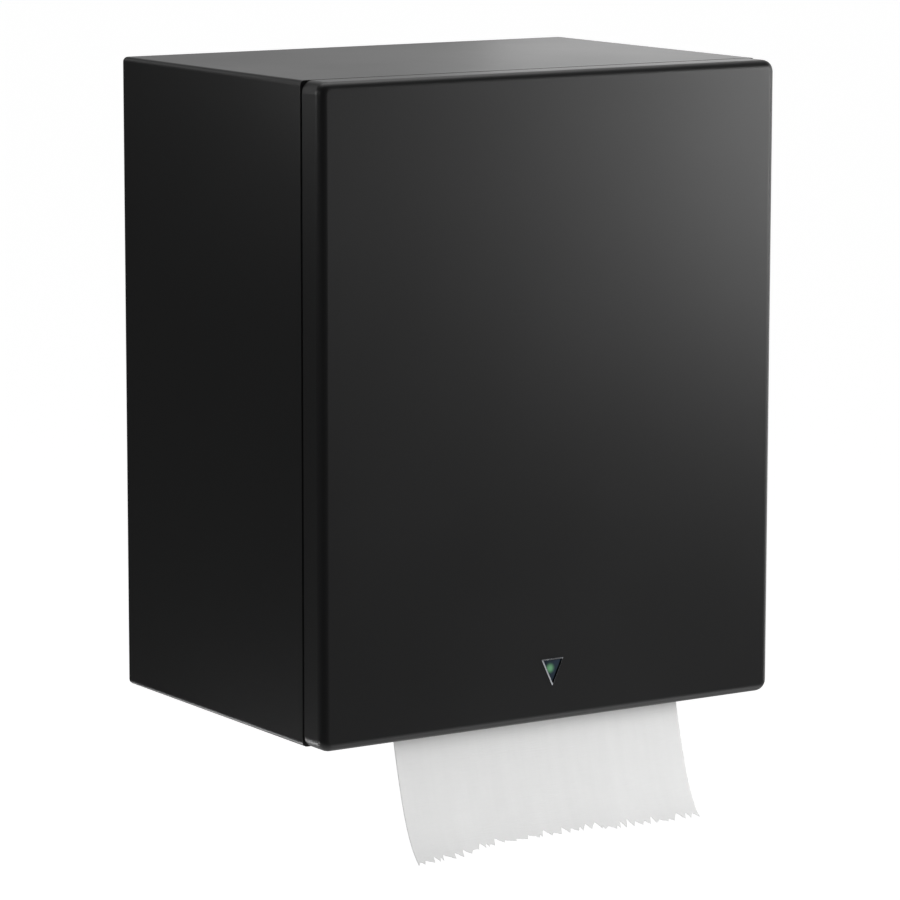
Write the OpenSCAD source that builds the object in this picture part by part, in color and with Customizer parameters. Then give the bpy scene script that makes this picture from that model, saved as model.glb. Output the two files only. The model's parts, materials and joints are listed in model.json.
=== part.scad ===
// Automatic roll paper towel dispenser: black folded steel casing, side hung door, motor driven paper feed.
// Frame in millimetres: X to the right, Y into the wall, Z up. The origin is the centre of the wall screw
// pattern on the back face, so the front of the door is at the most negative Y of the housing.

/* [Housing] */
// overall width
body_w = 315; // [311:1:380]
// overall height without the hanging paper
body_h = 380; // [376:1:440]
// depth of the rear casing, which grows where a larger roll needs it
casing_d = 205; // [203:1:230]
// sheet thickness of the casing
casing_wall = 1.5; // [1:0.1:2]
// outer radius of the casing's long edges
casing_r = 3; // [2.5:0.1:5]
// width of the return flange behind the casing's front rim
casing_lip = 8; // [4:0.5:9]
// gap between casing and door
seam_gap = 2; // [1.6:0.1:4]
// radius of each wall screw hole
wall_hole_r = 3.25; // [2:0.05:4]
// distance between wall screw holes across
wall_hole_dx = 270; // [262:1:280]
// distance between wall screw holes in height
wall_hole_dz = 200; // [180:1:210]

/* [Door] */
// depth of the door pan
door_d = 19; // [18:0.5:26]
// sheet thickness of the door
door_wall = 1.6; // [1:0.1:1.8]
// radius of the door's outline corners
door_r = 7; // [6.5:0.5:12]
// radius of the edge round the door's front
door_edge = 5; // [3.5:0.5:6]
// width of the triangular sensor window
lens_w = 15.4; // [12:0.2:18]
// height of the triangular sensor window
lens_h = 15.6; // [12:0.2:18]
// height of the window's tip above the bottom
lens_up = 22; // [18:0.5:26]
// how far the window stands out of the door
lens_proud = 1; // [0.5:0.1:2]

/* [Hinge and lock] */
// hinge axis from the left face
hinge_inset = 6; // [5.6:0.1:6.4]
// hinge axis in front of the door's rear edge
hinge_set = 12.5; // [12:0.1:13.2]
// radius of the hinge pins
hinge_pin_r = 1.8; // [1.4:0.1:2.2]
// distance between the two hinges
hinge_dz = 304; // [296:1:316]
// radius of the lock barrel
lock_r = 9; // [8:0.5:10]
// radius of the lock's turning plug
plug_r = 6; // [5:0.25:6.5]

/* [Paper] */
// width of the paper
paper_w = 200; // [180:1:203]
// thickness of the paper
paper_t = 0.3; // [0.2:0.05:0.4]
// radius of the paper roll
roll_r = 94; // [60:1:95]
// inside radius of the cardboard core
core_r = 20; // [19:0.5:22]
// gap between roll and casing top
roll_top_gap = 16; // [12:1:24]
// gap between roll and back of the casing
roll_back_gap = 14; // [8:1:14]
// length of paper that hangs below the housing
tail_len = 77; // [30:1:110]
// steady forward lean that the tail gains, in degrees
tail_lean = 4; // [0:1:8]
// curl that the tail gains towards its torn end, in degrees
tail_curl = 32; // [0:1:45]
// depth of the torn teeth
torn_depth = 4.5; // [1:0.1:6]

/* [Drive] */
// radius of the rubber drive roller
drive_r = 15; // [13:0.5:16]
// radius of the pinch roller
pinch_r = 10; // [8:0.5:11]
// space between the two rollers where the paper runs
nip_gap = 0.8; // [0.7:0.05:1.2]
// height of the nip above the bottom of the housing
nip_up = 72; // [68:1:80]
// forward tilt of the paper below the nip, in degrees
nip_tilt = 13.3; // [12:0.1:14]
// distance from the door's front to the paper where it leaves
exit_front = 16; // [15:0.5:18]
// distance from the paper to each guide
guide_gap = 3; // [2:0.25:3.5]
// module of the gear teeth
gear_mod = 1.25; // [1:0.05:1.3]
// width of the gears
gear_w = 8; // [6:0.5:9]
// pitch of the tear bar's teeth
tear_pitch = 4; // [3:0.5:6]

/* [Power and control] */
// radius of a battery cell
cell_r = 17.1; // [15:0.1:17.2]
// length of a battery cell with its nub
cell_l = 61.5; // [50:0.5:62]
// radius of the feed button
button_r = 5; // [4:0.25:6]
// travel of the feed button
button_travel = 2; // [1:0.1:2]

/* [Hidden] */
$fn = 64;

// running clearance of round fits, loose clearance beside moving pieces, and small overlap for cuts
run_fit = 0.05;
free_fit = 0.4;
seat_fit = 0.15;
cut = 1;

half_w = body_w / 2;
half_h = body_h / 2;
in_w = half_w - casing_wall;
in_h = half_h - casing_wall;
roll_front_gap = 1.5;
casing_depth = max(casing_d, casing_wall + roll_back_gap + 2 * roll_r + roll_front_gap);
casing_front = -casing_depth;
door_back = casing_front - seam_gap;
door_front = door_back - door_d;
door_in = door_front + door_wall;

hinge_x = -half_w + hinge_inset;
hinge_y = door_back - hinge_set;
knuckle_r = min(3.8, hinge_inset - door_wall - 0.4);
knuckle_h = 15.4;
lug_h = 7;
gooseneck_x = hinge_x + 20;

lock_y = casing_front + 18;
lock_in = half_w - 24;
cam_x = lock_in - 2.8;
cam_t = 2.4;
catch_x = cam_x - 4.5;

roll_y = -(casing_wall + roll_back_gap + roll_r);
roll_z = in_h - roll_top_gap - roll_r;
half_p = paper_w / 2;
core_wall = 2;
hub_flange_r = core_r + 6;
hub_depth = 9;
hub_gap = 0.6;
stem_r = 6;
arm_left_x = -half_p - 7;
arm_right_x = half_p + 20;
arm_t = 3;
arm_foot_w = 16;

exit_y = door_front + exit_front;
nip_z = -half_h + nip_up;
nip_y = exit_y + nip_up * tan(nip_tilt);
exit_s = nip_up / cos(nip_tilt);
drive_y = nip_y + (drive_r + nip_gap / 2) * cos(nip_tilt);
drive_z = nip_z - (drive_r + nip_gap / 2) * sin(nip_tilt);
pinch_y = nip_y - (pinch_r + nip_gap / 2) * cos(nip_tilt);
pinch_z = nip_z + (pinch_r + nip_gap / 2) * sin(nip_tilt);
pivot_y = nip_y + 3;
pivot_z = nip_z + 34;
pivot_r = 2.5;
shaft_r = 4;
pinch_shaft_r = 3;
plate_x = half_p + 7;
plate_t = 2;
plate_out = plate_x + plate_t;
plate_foot_w = 14;
sleeve_l = (paper_w - 20) / 4 - 9;
sleeve_step = (paper_w - 20) / 4;

drive_teeth = 34;
idler_teeth = 20;
pinion_teeth = 12;
gear_x = plate_out + 3;
backlash = 0.25;
idler_aim = -25;
pinion_aim = -10;
idler_turn = idler_aim + 180 + 180 / idler_teeth;
pinion_turn = pinion_aim + 180 + 180 / pinion_teeth - (idler_turn - pinion_aim) * idler_teeth / pinion_teeth;
idler_dist = gear_mod * (drive_teeth + idler_teeth) / 2;
pinion_dist = gear_mod * (idler_teeth + pinion_teeth) / 2;
idler_y = drive_y + idler_dist * cos(idler_aim);
idler_z = drive_z + idler_dist * sin(idler_aim);
motor_y = idler_y + pinion_dist * cos(pinion_aim);
motor_z = idler_z + pinion_dist * sin(pinion_aim);
motor_r = 18;
motor_l = 58;
motor_shaft_r = 2.5;
axle_r = 3;

cell_x = -in_w + cell_r + 2.4;
cell_set = 4.9;
cell_gap = 0.2;
cells_y = [casing_front + cell_set + cell_r, casing_front + cell_set + 3 * cell_r + 2 * free_fit];
tray_wall = 1.6;
tray_gap = 3;
stack_l = 2 * (cell_l + cell_gap);
spring_room = 8;
plate_top = pivot_z + 10;
tray_bottom = plate_top + tray_gap;
tray_top = tray_bottom + 2 * tray_wall + spring_room + stack_l + 1;
stacks_z = [tray_bottom + tray_wall + spring_room, tray_bottom + tray_wall + 1];

box_gap = 4;
box_x = gear_x + gear_w + box_gap;
box_w = in_w - box_x;
box_front = casing_front + 7;
box_d = 46;
box_z = -96;
box_h = 70;
box_wall = 2;
board_t = 1.6;
button_x = box_x + box_w / 2 + 1;
button_z = box_z + 52;
board_y = box_front + 15;

// helper geometry

// a flat shape given in Y and Z, carried along X from x0 to x1
module along_x(x0, x1) {
  translate([x0, 0, 0]) rotate([90, 0, 90]) linear_extrude(x1 - x0) children();
}

// a flat shape given in X and Z, carried forward from the plane y0 to the plane y1
module along_y(y0, y1) {
  translate([0, y0, 0]) rotate([90, 0, 0]) linear_extrude(y0 - y1) children();
}

// a flat shape given in X and Y, carried up from z0 to z1
module along_z(z0, z1) {
  translate([0, 0, z0]) linear_extrude(z1 - z0) children();
}

// a round bar along X
module bar_x(x0, x1, y, z, r) {
  translate([x0, y, z]) rotate([0, 90, 0]) cylinder(h = x1 - x0, r = r);
}

// a round bar that runs forward from the plane y0 to the plane y1
module bar_y(x, y0, y1, z, r) {
  translate([x, y0, z]) rotate([90, 0, 0]) cylinder(h = y0 - y1, r = r);
}

// a turned piece about an axis along X, from points of radius and distance
module turned_x(x0, y, z, points) {
  translate([x0, y, z]) rotate([0, 90, 0]) rotate_extrude() polygon(points);
}

// a block between two corners
module block(x0, x1, y0, y1, z0, z1) {
  translate([x0, y0, z0]) cube([x1 - x0, y1 - y0, z1 - z0]);
}

module rounded_rect(x0, x1, y0, y1, r) {
  translate([x0 + r, y0]) square([x1 - x0 - 2 * r, y1 - y0]);
  translate([x0, y0 + r]) square([x1 - x0, y1 - y0 - 2 * r]);
  for (x = [x0 + r, x1 - r], y = [y0 + r, y1 - r]) {
    translate([x, y]) circle(r);
  }
}

// section of a slab's border: r wide, d deep, its outer top corner rounded with e
module border_section(r, d, e) {
  square([r, d - e]);
  translate([0, d - e]) square([r - e, e]);
  translate([r - e, d - e]) intersection() {
    circle(e);
    square(e);
  }
}

// a slab w by h whose outline corners have radius r and whose top edge has radius e
module soft_slab(w, h, d, r, e) {
  translate([r - w / 2, r - h / 2, 0]) cube([w - 2 * r, h - 2 * r, d]);
  for (k = [0 : 3]) {
    along = k % 2 == 0 ? w : h;
    across = k % 2 == 0 ? h : w;
    rotate([0, 0, 90 * k]) translate([along / 2 - r, across / 2 - r, 0]) {
      rotate([90, 0, 0]) linear_extrude(across - 2 * r) border_section(r, d, e);
      rotate_extrude(angle = 90) border_section(r, d, e);
    }
  }
}

// an open pan of even thickness, its closed face on top
module soft_pan(w, h, d, r, e, wall) {
  difference() {
    soft_slab(w, h, d, r, e);
    translate([0, 0, -cut]) soft_slab(w - 2 * wall, h - 2 * wall, d - wall + cut, r - wall, e - wall);
  }
}

// points along the paper's way below the nip: s down the way, o towards the front
function below_nip(s, o) = [
  nip_y - s * sin(nip_tilt) - o * cos(nip_tilt),
  nip_z - s * cos(nip_tilt) + o * sin(nip_tilt)];

// points on the pinch frame: t from its pivot towards the pinch roller, o towards the front
frame_len = norm([pinch_y - pivot_y, pinch_z - pivot_z]);
frame_dir = [pinch_y - pivot_y, pinch_z - pivot_z] / frame_len;
function on_frame(t, o) = [
  pivot_y + t * frame_dir[0] + o * frame_dir[1],
  pivot_z + t * frame_dir[1] - o * frame_dir[0]];

// gear teeth: involute flanks of a 20 degree system with shortened tips
function inv_deg(a) = tan(a) * 180 / PI - a;
function tooth_half(r, n) = let (pitch_r = gear_mod * n / 2, base_r = pitch_r * cos(20))
  90 / n - backlash / (2 * pitch_r) * 180 / PI + inv_deg(20) - inv_deg(acos(min(1, base_r / r)));
function gear_points(n) = let (
    pitch_r = gear_mod * n / 2,
    base_r = pitch_r * cos(20),
    tip_r = pitch_r + 0.8 * gear_mod,
    root_r = pitch_r - 1.1 * gear_mod,
    low_r = max(base_r, root_r),
    radii = [for (k = [0 : 3]) low_r + (tip_r - low_r) * k / 3])
  [for (i = [0 : n - 1]) each let (mid = 360 * i / n) concat(
    [[root_r * cos(mid - tooth_half(low_r, n)), root_r * sin(mid - tooth_half(low_r, n))]],
    [for (r = radii, a = mid - tooth_half(r, n)) [r * cos(a), r * sin(a)]],
    [for (k = [3 : -1 : 0]) let (r = radii[k], a = mid + tooth_half(r, n)) [r * cos(a), r * sin(a)]],
    [[root_r * cos(mid + tooth_half(low_r, n)), root_r * sin(mid + tooth_half(low_r, n))]])];

module gear(x, y, z, n, aim, bore) {
  along_x(x, x + gear_w) translate([y, z]) difference() {
    rotate(aim) polygon(gear_points(n));
    circle(bore);
  }
}

// a wound wire about X: rings of six points, eight rings a turn, with straight ends along the wire
function coil_centre(a, a0, a1, x0, x1, r0, r1) = let (f = (a - a0) / (a1 - a0), r = r0 + (r1 - r0) * f)
  [x0 + (x1 - x0) * f, r * cos(a), r * sin(a)];
function coil_dir(a, a0, a1, x0, x1, r0, r1) = let (
    d = coil_centre(a + 0.5, a0, a1, x0, x1, r0, r1) - coil_centre(a - 0.5, a0, a1, x0, x1, r0, r1))
  d / norm(d);
function coil_line(a0, a1, x0, x1, r0, r1) = let (n = round((a1 - a0) / 45))
  [for (i = [0 : n]) coil_centre(a0 + (a1 - a0) * i / n, a0, a1, x0, x1, r0, r1)];
function coil_dirs(a0, a1, x0, x1, r0, r1) = let (n = round((a1 - a0) / 45))
  [for (i = [0 : n]) coil_dir(a0 + (a1 - a0) * i / n, a0, a1, x0, x1, r0, r1)];
function wire_ring(c, d, wire) = let (
    out = [0, c[1], c[2]] / norm([0, c[1], c[2]]),
    n1 = (out - d * (out * d)) / norm(out - d * (out * d)),
    n2 = cross(d, n1))
  [for (k = [0 : 5]) wire * (cos(60 * k) * n1 + sin(60 * k) * n2)];
function moved(ring, c) = [for (p = ring) p + c];
function coil_rings(line, dirs, wire, leg0, leg1) = let (last = len(line) - 1) concat(
  leg0 > 0 ? [moved(wire_ring(line[0], dirs[0], wire), line[0] - leg0 * dirs[0])] : [],
  [for (i = [0 : last]) moved(wire_ring(line[i], dirs[i], wire), line[i])],
  leg1 > 0 ? [moved(wire_ring(line[last], dirs[last], wire), line[last] + leg1 * dirs[last])] : []);
function coil_gap(line, wire) = min([for (i = [0 : len(line) - 7], j = [i + 6 : len(line) - 1])
  norm(line[i] - line[j])]) - 2 * wire;

module coil(a0, a1, x0, x1, r0, r1, wire, leg0, leg1) {
  line = coil_line(a0, a1, x0, x1, r0, r1);
  dirs = coil_dirs(a0, a1, x0, x1, r0, r1);
  rings = coil_rings(line, dirs, wire, leg0, leg1);
  n = len(rings);
  echo(least_gap_of_the_wire_to_itself = coil_gap(line, wire));
  polyhedron(
    points = [for (ring = rings) each ring],
    faces = concat(
      [[5, 4, 3, 2, 1, 0]],
      [for (i = [0 : n - 2], k = [0 : 5]) [6 * i + k, 6 * i + (k + 1) % 6, 6 * (i + 1) + k]],
      [for (i = [0 : n - 2], k = [0 : 5]) [6 * i + (k + 1) % 6, 6 * (i + 1) + (k + 1) % 6, 6 * (i + 1) + k]],
      [[for (k = [0 : 5]) 6 * (n - 1) + k]]));
}

// the paper's way: round the back of the roll, across to the drive roller, round it and down to the exit
roll_way_r = roll_r + nip_gap / 2;
drive_way_r = drive_r + nip_gap / 2;
way_y = drive_y - roll_y;
way_z = drive_z - roll_z;
leave_aim = atan2(way_z, way_y) + acos((roll_way_r + drive_way_r) / norm([way_y, way_z]));
roll_aims = [for (k = [0 : 8]) leave_aim + 40 - 5 * k];
drive_aims = [for (k = [0 : 6]) leave_aim + 180 + (-nip_tilt - leave_aim) * k / 6];
function on_roll(a, o) = [roll_y + (roll_way_r + o) * cos(a), roll_z + (roll_way_r + o) * sin(a)];
function on_drive(a, o) = [drive_y + (drive_way_r + o) * cos(a), drive_z + (drive_way_r + o) * sin(a)];
function web_side(o) = concat(
  [for (a = roll_aims) on_roll(a, -o)],
  [for (a = drive_aims) on_drive(a, o)],
  [below_nip(exit_s, o)]);
function turned_round(v) = [for (k = [len(v) - 1 : -1 : 0]) v[k]];

// the hanging tail: its lean grows along its length s, and o is measured towards the front
function tail_aim(s) = nip_tilt + tail_lean * s / tail_len + tail_curl * pow(s / tail_len, 4);
function tail_sum(s, k) = k < 0 ? [0, 0] :
  tail_sum(s, k - 1) - s / 12 * [sin(tail_aim(s * (k + 0.5) / 12)), cos(tail_aim(s * (k + 0.5) / 12))];
function tail_point(s, o) = below_nip(exit_s, 0) + tail_sum(s, 11)
  + o * [-cos(tail_aim(s)), sin(tail_aim(s))];
tail_cols = 64;
tail_rows = 8;
torn = rands(0.35, 1, tail_cols + 1, 7);
function tail_end(c) = tail_len - 3 * c / tail_cols - (c % 2 == 0 ? 0 : torn_depth * torn[c]);
function tail_dot(c, r, o) = let (p = tail_point(tail_end(c) * r / tail_rows, o))
  [-half_p + paper_w * c / tail_cols, p[0], p[1]];

// housing

// the folded casing with its back, four wall holes, a return flange and an opening for the paper
chute_half = plate_out + 3;
chute_back = drive_y + 6;
module rear_casing() color("#1c1d1f") difference() {
  union() {
    translate([0, casing_front, 0]) rotate([-90, 0, 0])
      soft_pan(body_w, body_h, casing_depth, casing_r, casing_r - 0.6, casing_wall);
    along_y(casing_front + casing_wall, casing_front) difference() {
      translate([-in_w - casing_wall / 2, -in_h + 20])
        square([2 * in_w + casing_wall, 2 * in_h - 20 + casing_wall / 2]);
      translate([-in_w + casing_lip, -in_h]) square([2 * (in_w - casing_lip), 2 * in_h - casing_lip]);
    }
  }
  for (x = [-1, 1] * wall_hole_dx / 2, z = [-1, 1] * wall_hole_dz / 2) {
    bar_y(x, cut, -casing_wall - cut, z, wall_hole_r);
  }
  block(-chute_half, chute_half, casing_front - cut, chute_back, -half_h - cut, -in_h + cut);
  bar_x(in_w - cut, half_w + cut, lock_y, 0, lock_r + seat_fit);
}

// the door pan with the window and the relief for the paper in its lower rim
lens_tip_z = -half_h + lens_up;
module lens_outline(grow) {
  polygon([[-lens_w / 2 - 1.6 * grow, lens_tip_z + lens_h + grow], [0, lens_tip_z - 2 * grow],
    [lens_w / 2 + 1.6 * grow, lens_tip_z + lens_h + grow]]);
}
relief_front = below_nip(exit_s, guide_gap + 2.8)[0] - 1.6;
module door_panel() color("#1f2022") difference() {
  translate([0, door_back, 0]) rotate([90, 0, 0])
    soft_pan(body_w, body_h, door_d, door_r, door_edge, door_wall);
  along_y(door_in + cut, door_front - cut) lens_outline(0.1);
  block(-chute_half, chute_half, relief_front, door_back + cut, -half_h - cut, -half_h + door_wall + cut);
}

// the window: a bevelled triangle that stands out of the door, glued on by its rim
module door_lens() color("#2c3a4c") {
  along_y(door_in, door_front) lens_outline(0);
  along_y(door_in + 1.2, door_in) lens_outline(1.4);
  bevel = 0.8;
  mid_z = lens_tip_z + lens_h * 0.64;
  translate([0, door_front, mid_z]) rotate([90, 0, 0])
    linear_extrude(lens_proud, scale = 1 - bevel / (lens_w * 0.28)) translate([0, -mid_z]) lens_outline(0);
}

// hinge leaves on the door: two lugs each, with a strip glued to the door's inside beside its rounded edge
lug_foot_x = -half_w + door_edge + 0.2;
module door_lugs() color("#3a3c3f") for (m = [-1, 1]) translate([0, 0, m * hinge_dz / 2]) difference() {
  union() {
    for (z = [-knuckle_h / 2 - free_fit - lug_h, knuckle_h / 2 + free_fit]) along_z(z, z + lug_h) {
      translate([hinge_x, hinge_y]) circle(knuckle_r);
      translate([lug_foot_x, door_in]) square([hinge_x + knuckle_r - lug_foot_x, hinge_y - door_in]);
    }
    block(lug_foot_x, hinge_x + 26, door_in, door_in + 0.9,
      -knuckle_h / 2 - free_fit - lug_h, knuckle_h / 2 + free_fit + lug_h);
  }
  translate([hinge_x, hinge_y, -60]) cylinder(h = 120, r = hinge_pin_r + run_fit);
}

// gooseneck hinge arms: riveted inside the casing, round the door's edge to the knuckle
module hinge_arms() color("#8b8f93") for (m = [-1, 1]) translate([0, 0, m * hinge_dz / 2]) difference() {
  along_z(-knuckle_h / 2, knuckle_h / 2) {
    translate([hinge_x, hinge_y]) circle(knuckle_r);
    translate([hinge_x, hinge_y - 2.6]) square([gooseneck_x + 2.6 - hinge_x, 2.6]);
    translate([gooseneck_x, hinge_y - 2.6]) square([2.6, casing_front + 16 - hinge_y + 2.6]);
    translate([-in_w, casing_front + 13.4]) square([gooseneck_x + in_w + 1, 2.6]);
    translate([-in_w, casing_front + 13.4]) square([2.6, 30]);
  }
  translate([hinge_x, hinge_y, -20]) cylinder(h = 40, r = hinge_pin_r + run_fit);
}

module hinge_pins() color("#b4b7ba") for (m = [-1, 1]) translate([hinge_x, hinge_y, m * hinge_dz / 2]) {
  pin_h = knuckle_h + 2 * (free_fit + lug_h);
  translate([0, 0, -pin_h / 2]) cylinder(h = pin_h + 0.6, r = hinge_pin_r);
  translate([0, 0, pin_h / 2 + 0.2]) cylinder(h = 1.6, r = hinge_pin_r + 1);
}

module hinge_rivets() color("#9a9da0") for (m = [-1, 1], y = [24, 36])
  turned_x(-in_w + 2.6, casing_front + y, m * hinge_dz / 2, [[0, 0], [3.2, 0], [2.6, 1], [0, 1.6]]);

// lock in the right wall: barrel with a flange outside, nut inside, turning plug and cam
module lock_barrel() color("#a9acb0") difference() {
  union() {
    bar_x(lock_in, half_w + 0.2, lock_y, 0, lock_r);
    turned_x(half_w, lock_y, 0, [[0, 0], [lock_r + 2.5, 0], [lock_r + 2.5, 1], [lock_r + 1.7, 1.8],
      [0, 1.8]]);
  }
  bar_x(lock_in - cut, half_w + 3, lock_y, 0, plug_r + run_fit);
}

module lock_nut() color("#b9bcbf") along_x(in_w - 5, in_w) translate([lock_y, 0]) difference() {
  circle(lock_r + 5, $fn = 6);
  circle(lock_r + 0.1);
}

module lock_plug() color("#c2c5c8") difference() {
  bar_x(cam_x - 1.8, half_w + 1.6, lock_y, 0, plug_r);
  block(half_w - 3, half_w + 3, lock_y - 0.7, lock_y + 0.7, -plug_r + 1.6, plug_r - 1.6);
}

cam_reach = 14;
cam_half = 4.5;
module lock_cam() color("#9a9da0") along_x(cam_x, cam_x + cam_t) translate([lock_y, 0]) difference() {
  union() {
    circle(plug_r + 2.4);
    translate([-cam_reach, -cam_half]) square([cam_reach, 2 * cam_half]);
    translate([-cam_reach, 0]) circle(cam_half);
  }
  circle(plug_r + run_fit);
}

// hook on the door: a foot on the inside, a strip back past the cam, a lip behind it
catch_z = plug_r + 4.5;
catch_h = 9.5;
catch_back = lock_y + cam_half + 3;
module door_catch() color("#8b8f93") {
  along_z(catch_z, catch_z + catch_h) {
    translate([catch_x - 16, door_in]) square([18, 2]);
    translate([catch_x, door_in]) square([2, catch_back - door_in]);
    translate([catch_x, catch_back - 2]) square([8, 2]);
  }
}

magnet_w = 14;
magnet_x = half_w - door_edge - 1 - magnet_w;
module door_magnet() color("#4a4d50")
  block(magnet_x, magnet_x + magnet_w, door_in, door_in + 5, box_z + 14, box_z + 26);

// roll holder

// side view of an arm: a foot on the back, a tapered blade and a round head
module arm_outline() {
  polygon([[-casing_wall, roll_z - 42], [-casing_wall, roll_z + 22], [roll_y, roll_z + 17],
    [roll_y, roll_z - 17]]);
  translate([roll_y, roll_z]) circle(19);
}

module arm_foot(x0, x1) {
  difference() {
    block(x0, x1, -casing_wall - 2.4, -casing_wall, roll_z - 42, roll_z + 22);
    for (z = [roll_z - 30, roll_z + 10]) {
      bar_y((x0 + x1) / 2, 0, -casing_wall - 4, z, 2.2);
    }
  }
}

module arm_slots(x0) {
  along_x(x0 - cut, x0 + arm_t + cut) {
    translate([roll_y * 0.48, roll_z - 6]) rounded_rect(-22, 22, -9, 9, 8.9);
  }
}

hub_end = half_p - hub_depth;
module left_roll_arm() color("#2b2d30") difference() {
  union() {
    along_x(arm_left_x - arm_t, arm_left_x) arm_outline();
    arm_foot(arm_left_x - 0.2, arm_left_x + arm_foot_w);
    turned_x(arm_left_x - 0.2, roll_y, roll_z, [[0, 0], [hub_flange_r, 0], [hub_flange_r, 7 - hub_gap + 0.2],
      [core_r - run_fit, 7 - hub_gap + 0.2], [core_r - run_fit, 13], [core_r - 3, 16], [0, 16]]);
  }
  arm_slots(arm_left_x - arm_t);
}

module right_roll_arm() color("#2b2d30") difference() {
  union() {
    along_x(arm_right_x, arm_right_x + arm_t) arm_outline();
    arm_foot(arm_right_x - arm_foot_w, arm_right_x + 0.2);
    bar_x(arm_right_x, arm_right_x + 12, roll_y, roll_z, stem_r + 6);
  }
  bar_x(arm_right_x - cut, arm_right_x + 13, roll_y, roll_z, stem_r + run_fit);
  arm_slots(arm_right_x);
}

module arm_screws() color("#b4b7ba")
  for (x = [arm_left_x, arm_right_x - arm_foot_w], z = [roll_z - 30, roll_z + 10]) {
    bar_y(x + arm_foot_w / 2, -casing_wall, -casing_wall - 3, z, 2);
    translate([x + arm_foot_w / 2, -casing_wall - 2.4, z]) rotate([90, 0, 0])
      rotate_extrude() polygon([[0, 0], [4, 0], [4, 0.8], [2.6, 2.4], [0, 2.4]]);
  }

// sprung hub: plug, flange, stem through the arm and a retaining ring
module sprung_hub() color("#3c4046") {
  x0 = hub_end;
  flange = half_p + hub_gap - x0;
  turned_x(x0, roll_y, roll_z, [[0, 0], [core_r - 3, 0], [core_r - run_fit, 2.5], [core_r - run_fit, flange],
    [hub_flange_r, flange], [hub_flange_r, flange + 3], [stem_r, flange + 3], [stem_r, arm_right_x + 13 - x0],
    [stem_r + 3, arm_right_x + 13 - x0], [stem_r + 3, arm_right_x + 15 - x0], [stem_r, arm_right_x + 15 - x0],
    [stem_r, arm_right_x + 16.5 - x0], [stem_r - 1, arm_right_x + 17.5 - x0], [0, arm_right_x + 17.5 - x0]]);
}

module hub_spring() color("#b9bcbf") translate([0, roll_y, roll_z])
  coil(0, 1800, half_p + hub_gap + 3.7, arm_right_x - 0.7, 9, 9, 0.6, 0, 0);

// paper

wound_r = core_r + core_wall + 0.1;
module paper_roll() color("#ecebe7") turned_x(-half_p, roll_y, roll_z, [[wound_r, 0], [roll_r - 1, 0],
  [roll_r, 1], [roll_r, paper_w - 1], [roll_r - 1, paper_w], [wound_r, paper_w]]);

module roll_core() color("#b08d62") turned_x(-half_p, roll_y, roll_z,
  [[core_r, 0], [core_r + core_wall, 0], [core_r + core_wall, paper_w], [core_r, paper_w]]);

module paper_web() color("#f0efec")
  along_x(-half_p, half_p) polygon(concat(web_side(-paper_t / 2), turned_round(web_side(paper_t / 2))));

module paper_tail() color("#f0efec") {
  side = (tail_cols + 1) * (tail_rows + 1);
  wide = tail_cols + 1;
  polyhedron(
    points = concat(
      [for (r = [0 : tail_rows], c = [0 : tail_cols]) tail_dot(c, r, -paper_t / 2)],
      [for (r = [0 : tail_rows], c = [0 : tail_cols]) tail_dot(c, r, paper_t / 2)]),
    faces = concat(
      [for (r = [0 : tail_rows - 1], c = [0 : tail_cols - 1]) each let (a = r * wide + c)
        [[a, a + wide, a + 1], [a + 1, a + wide, a + wide + 1]]],
      [for (r = [0 : tail_rows - 1], c = [0 : tail_cols - 1]) each let (a = side + r * wide + c)
        [[a, a + 1, a + wide], [a + 1, a + wide + 1, a + wide]]],
      [for (c = [0 : tail_cols - 1]) each let (b = tail_rows * wide)
        [[c, c + 1, side + c], [c + 1, side + c + 1, side + c],
          [b + c, side + b + c, b + c + 1], [b + c + 1, side + b + c, side + b + c + 1]]],
      [for (r = [0 : tail_rows - 1]) each let (a = r * wide, e = r * wide + tail_cols)
        [[a, side + a, a + wide], [a + wide, side + a, side + a + wide],
          [e, e + wide, side + e], [e + wide, side + e + wide, side + e]]]));
}

// paper drive

plate_back = motor_y + motor_r + 4;
plate_front = below_nip(exit_s, guide_gap + 2.8)[0] - 1;
tie_r = 4;
tie_gap = 1.6;
tie_along = 38;
tie_under = on_drive(leave_aim + 180, -paper_t / 2 - tie_gap - tie_r)
  + tie_along * [-sin(leave_aim), cos(leave_aim)];
tie_y = [plate_back - 8, tie_under[0]];
tie_z = [motor_z - 24, tie_under[1]];
module plate_outline() {
  difference() {
    polygon([[plate_back, -in_h], [plate_back, motor_z + 16], [drive_y + 30, plate_top],
      [pivot_y - 8, plate_top], [pinch_y - 8, pinch_z + 4], [plate_front, -in_h + 1.5],
      [chute_back, -in_h + 1.5], [chute_back, -in_h]]);
    translate([drive_y, drive_z]) circle(shaft_r + 3 + run_fit);
    translate([pivot_y, pivot_z]) circle(pivot_r + run_fit);
    translate([drive_y + 8, -in_h + 24]) rounded_rect(-6, 20, -8, 8, 6);
  }
}

module plate_foot(x0, x1) {
  difference() {
    block(x0, x1, chute_back + 2, plate_back, -in_h, -in_h + 1.5);
    for (y = [chute_back + 10, plate_back - 8]) {
      translate([(x0 + x1) / 2, y, -in_h - cut]) cylinder(h = 4, r = 2.2);
    }
  }
}

module drive_plate_left() color("#a4a8ac") {
  along_x(-plate_out, -plate_x) plate_outline();
  plate_foot(-plate_out - plate_foot_w, -plate_out);
}

module drive_plate_right() color("#a4a8ac") {
  along_x(plate_x, plate_out) difference() {
    plate_outline();
    translate([motor_y, motor_z]) circle(motor_shaft_r + 4);
    translate([idler_y, idler_z]) circle(axle_r);
    for (m = [-1, 1]) {
      translate([motor_y, motor_z + m * 12]) circle(1.6);
    }
  }
  plate_foot(plate_out, plate_out + plate_foot_w);
}

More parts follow.
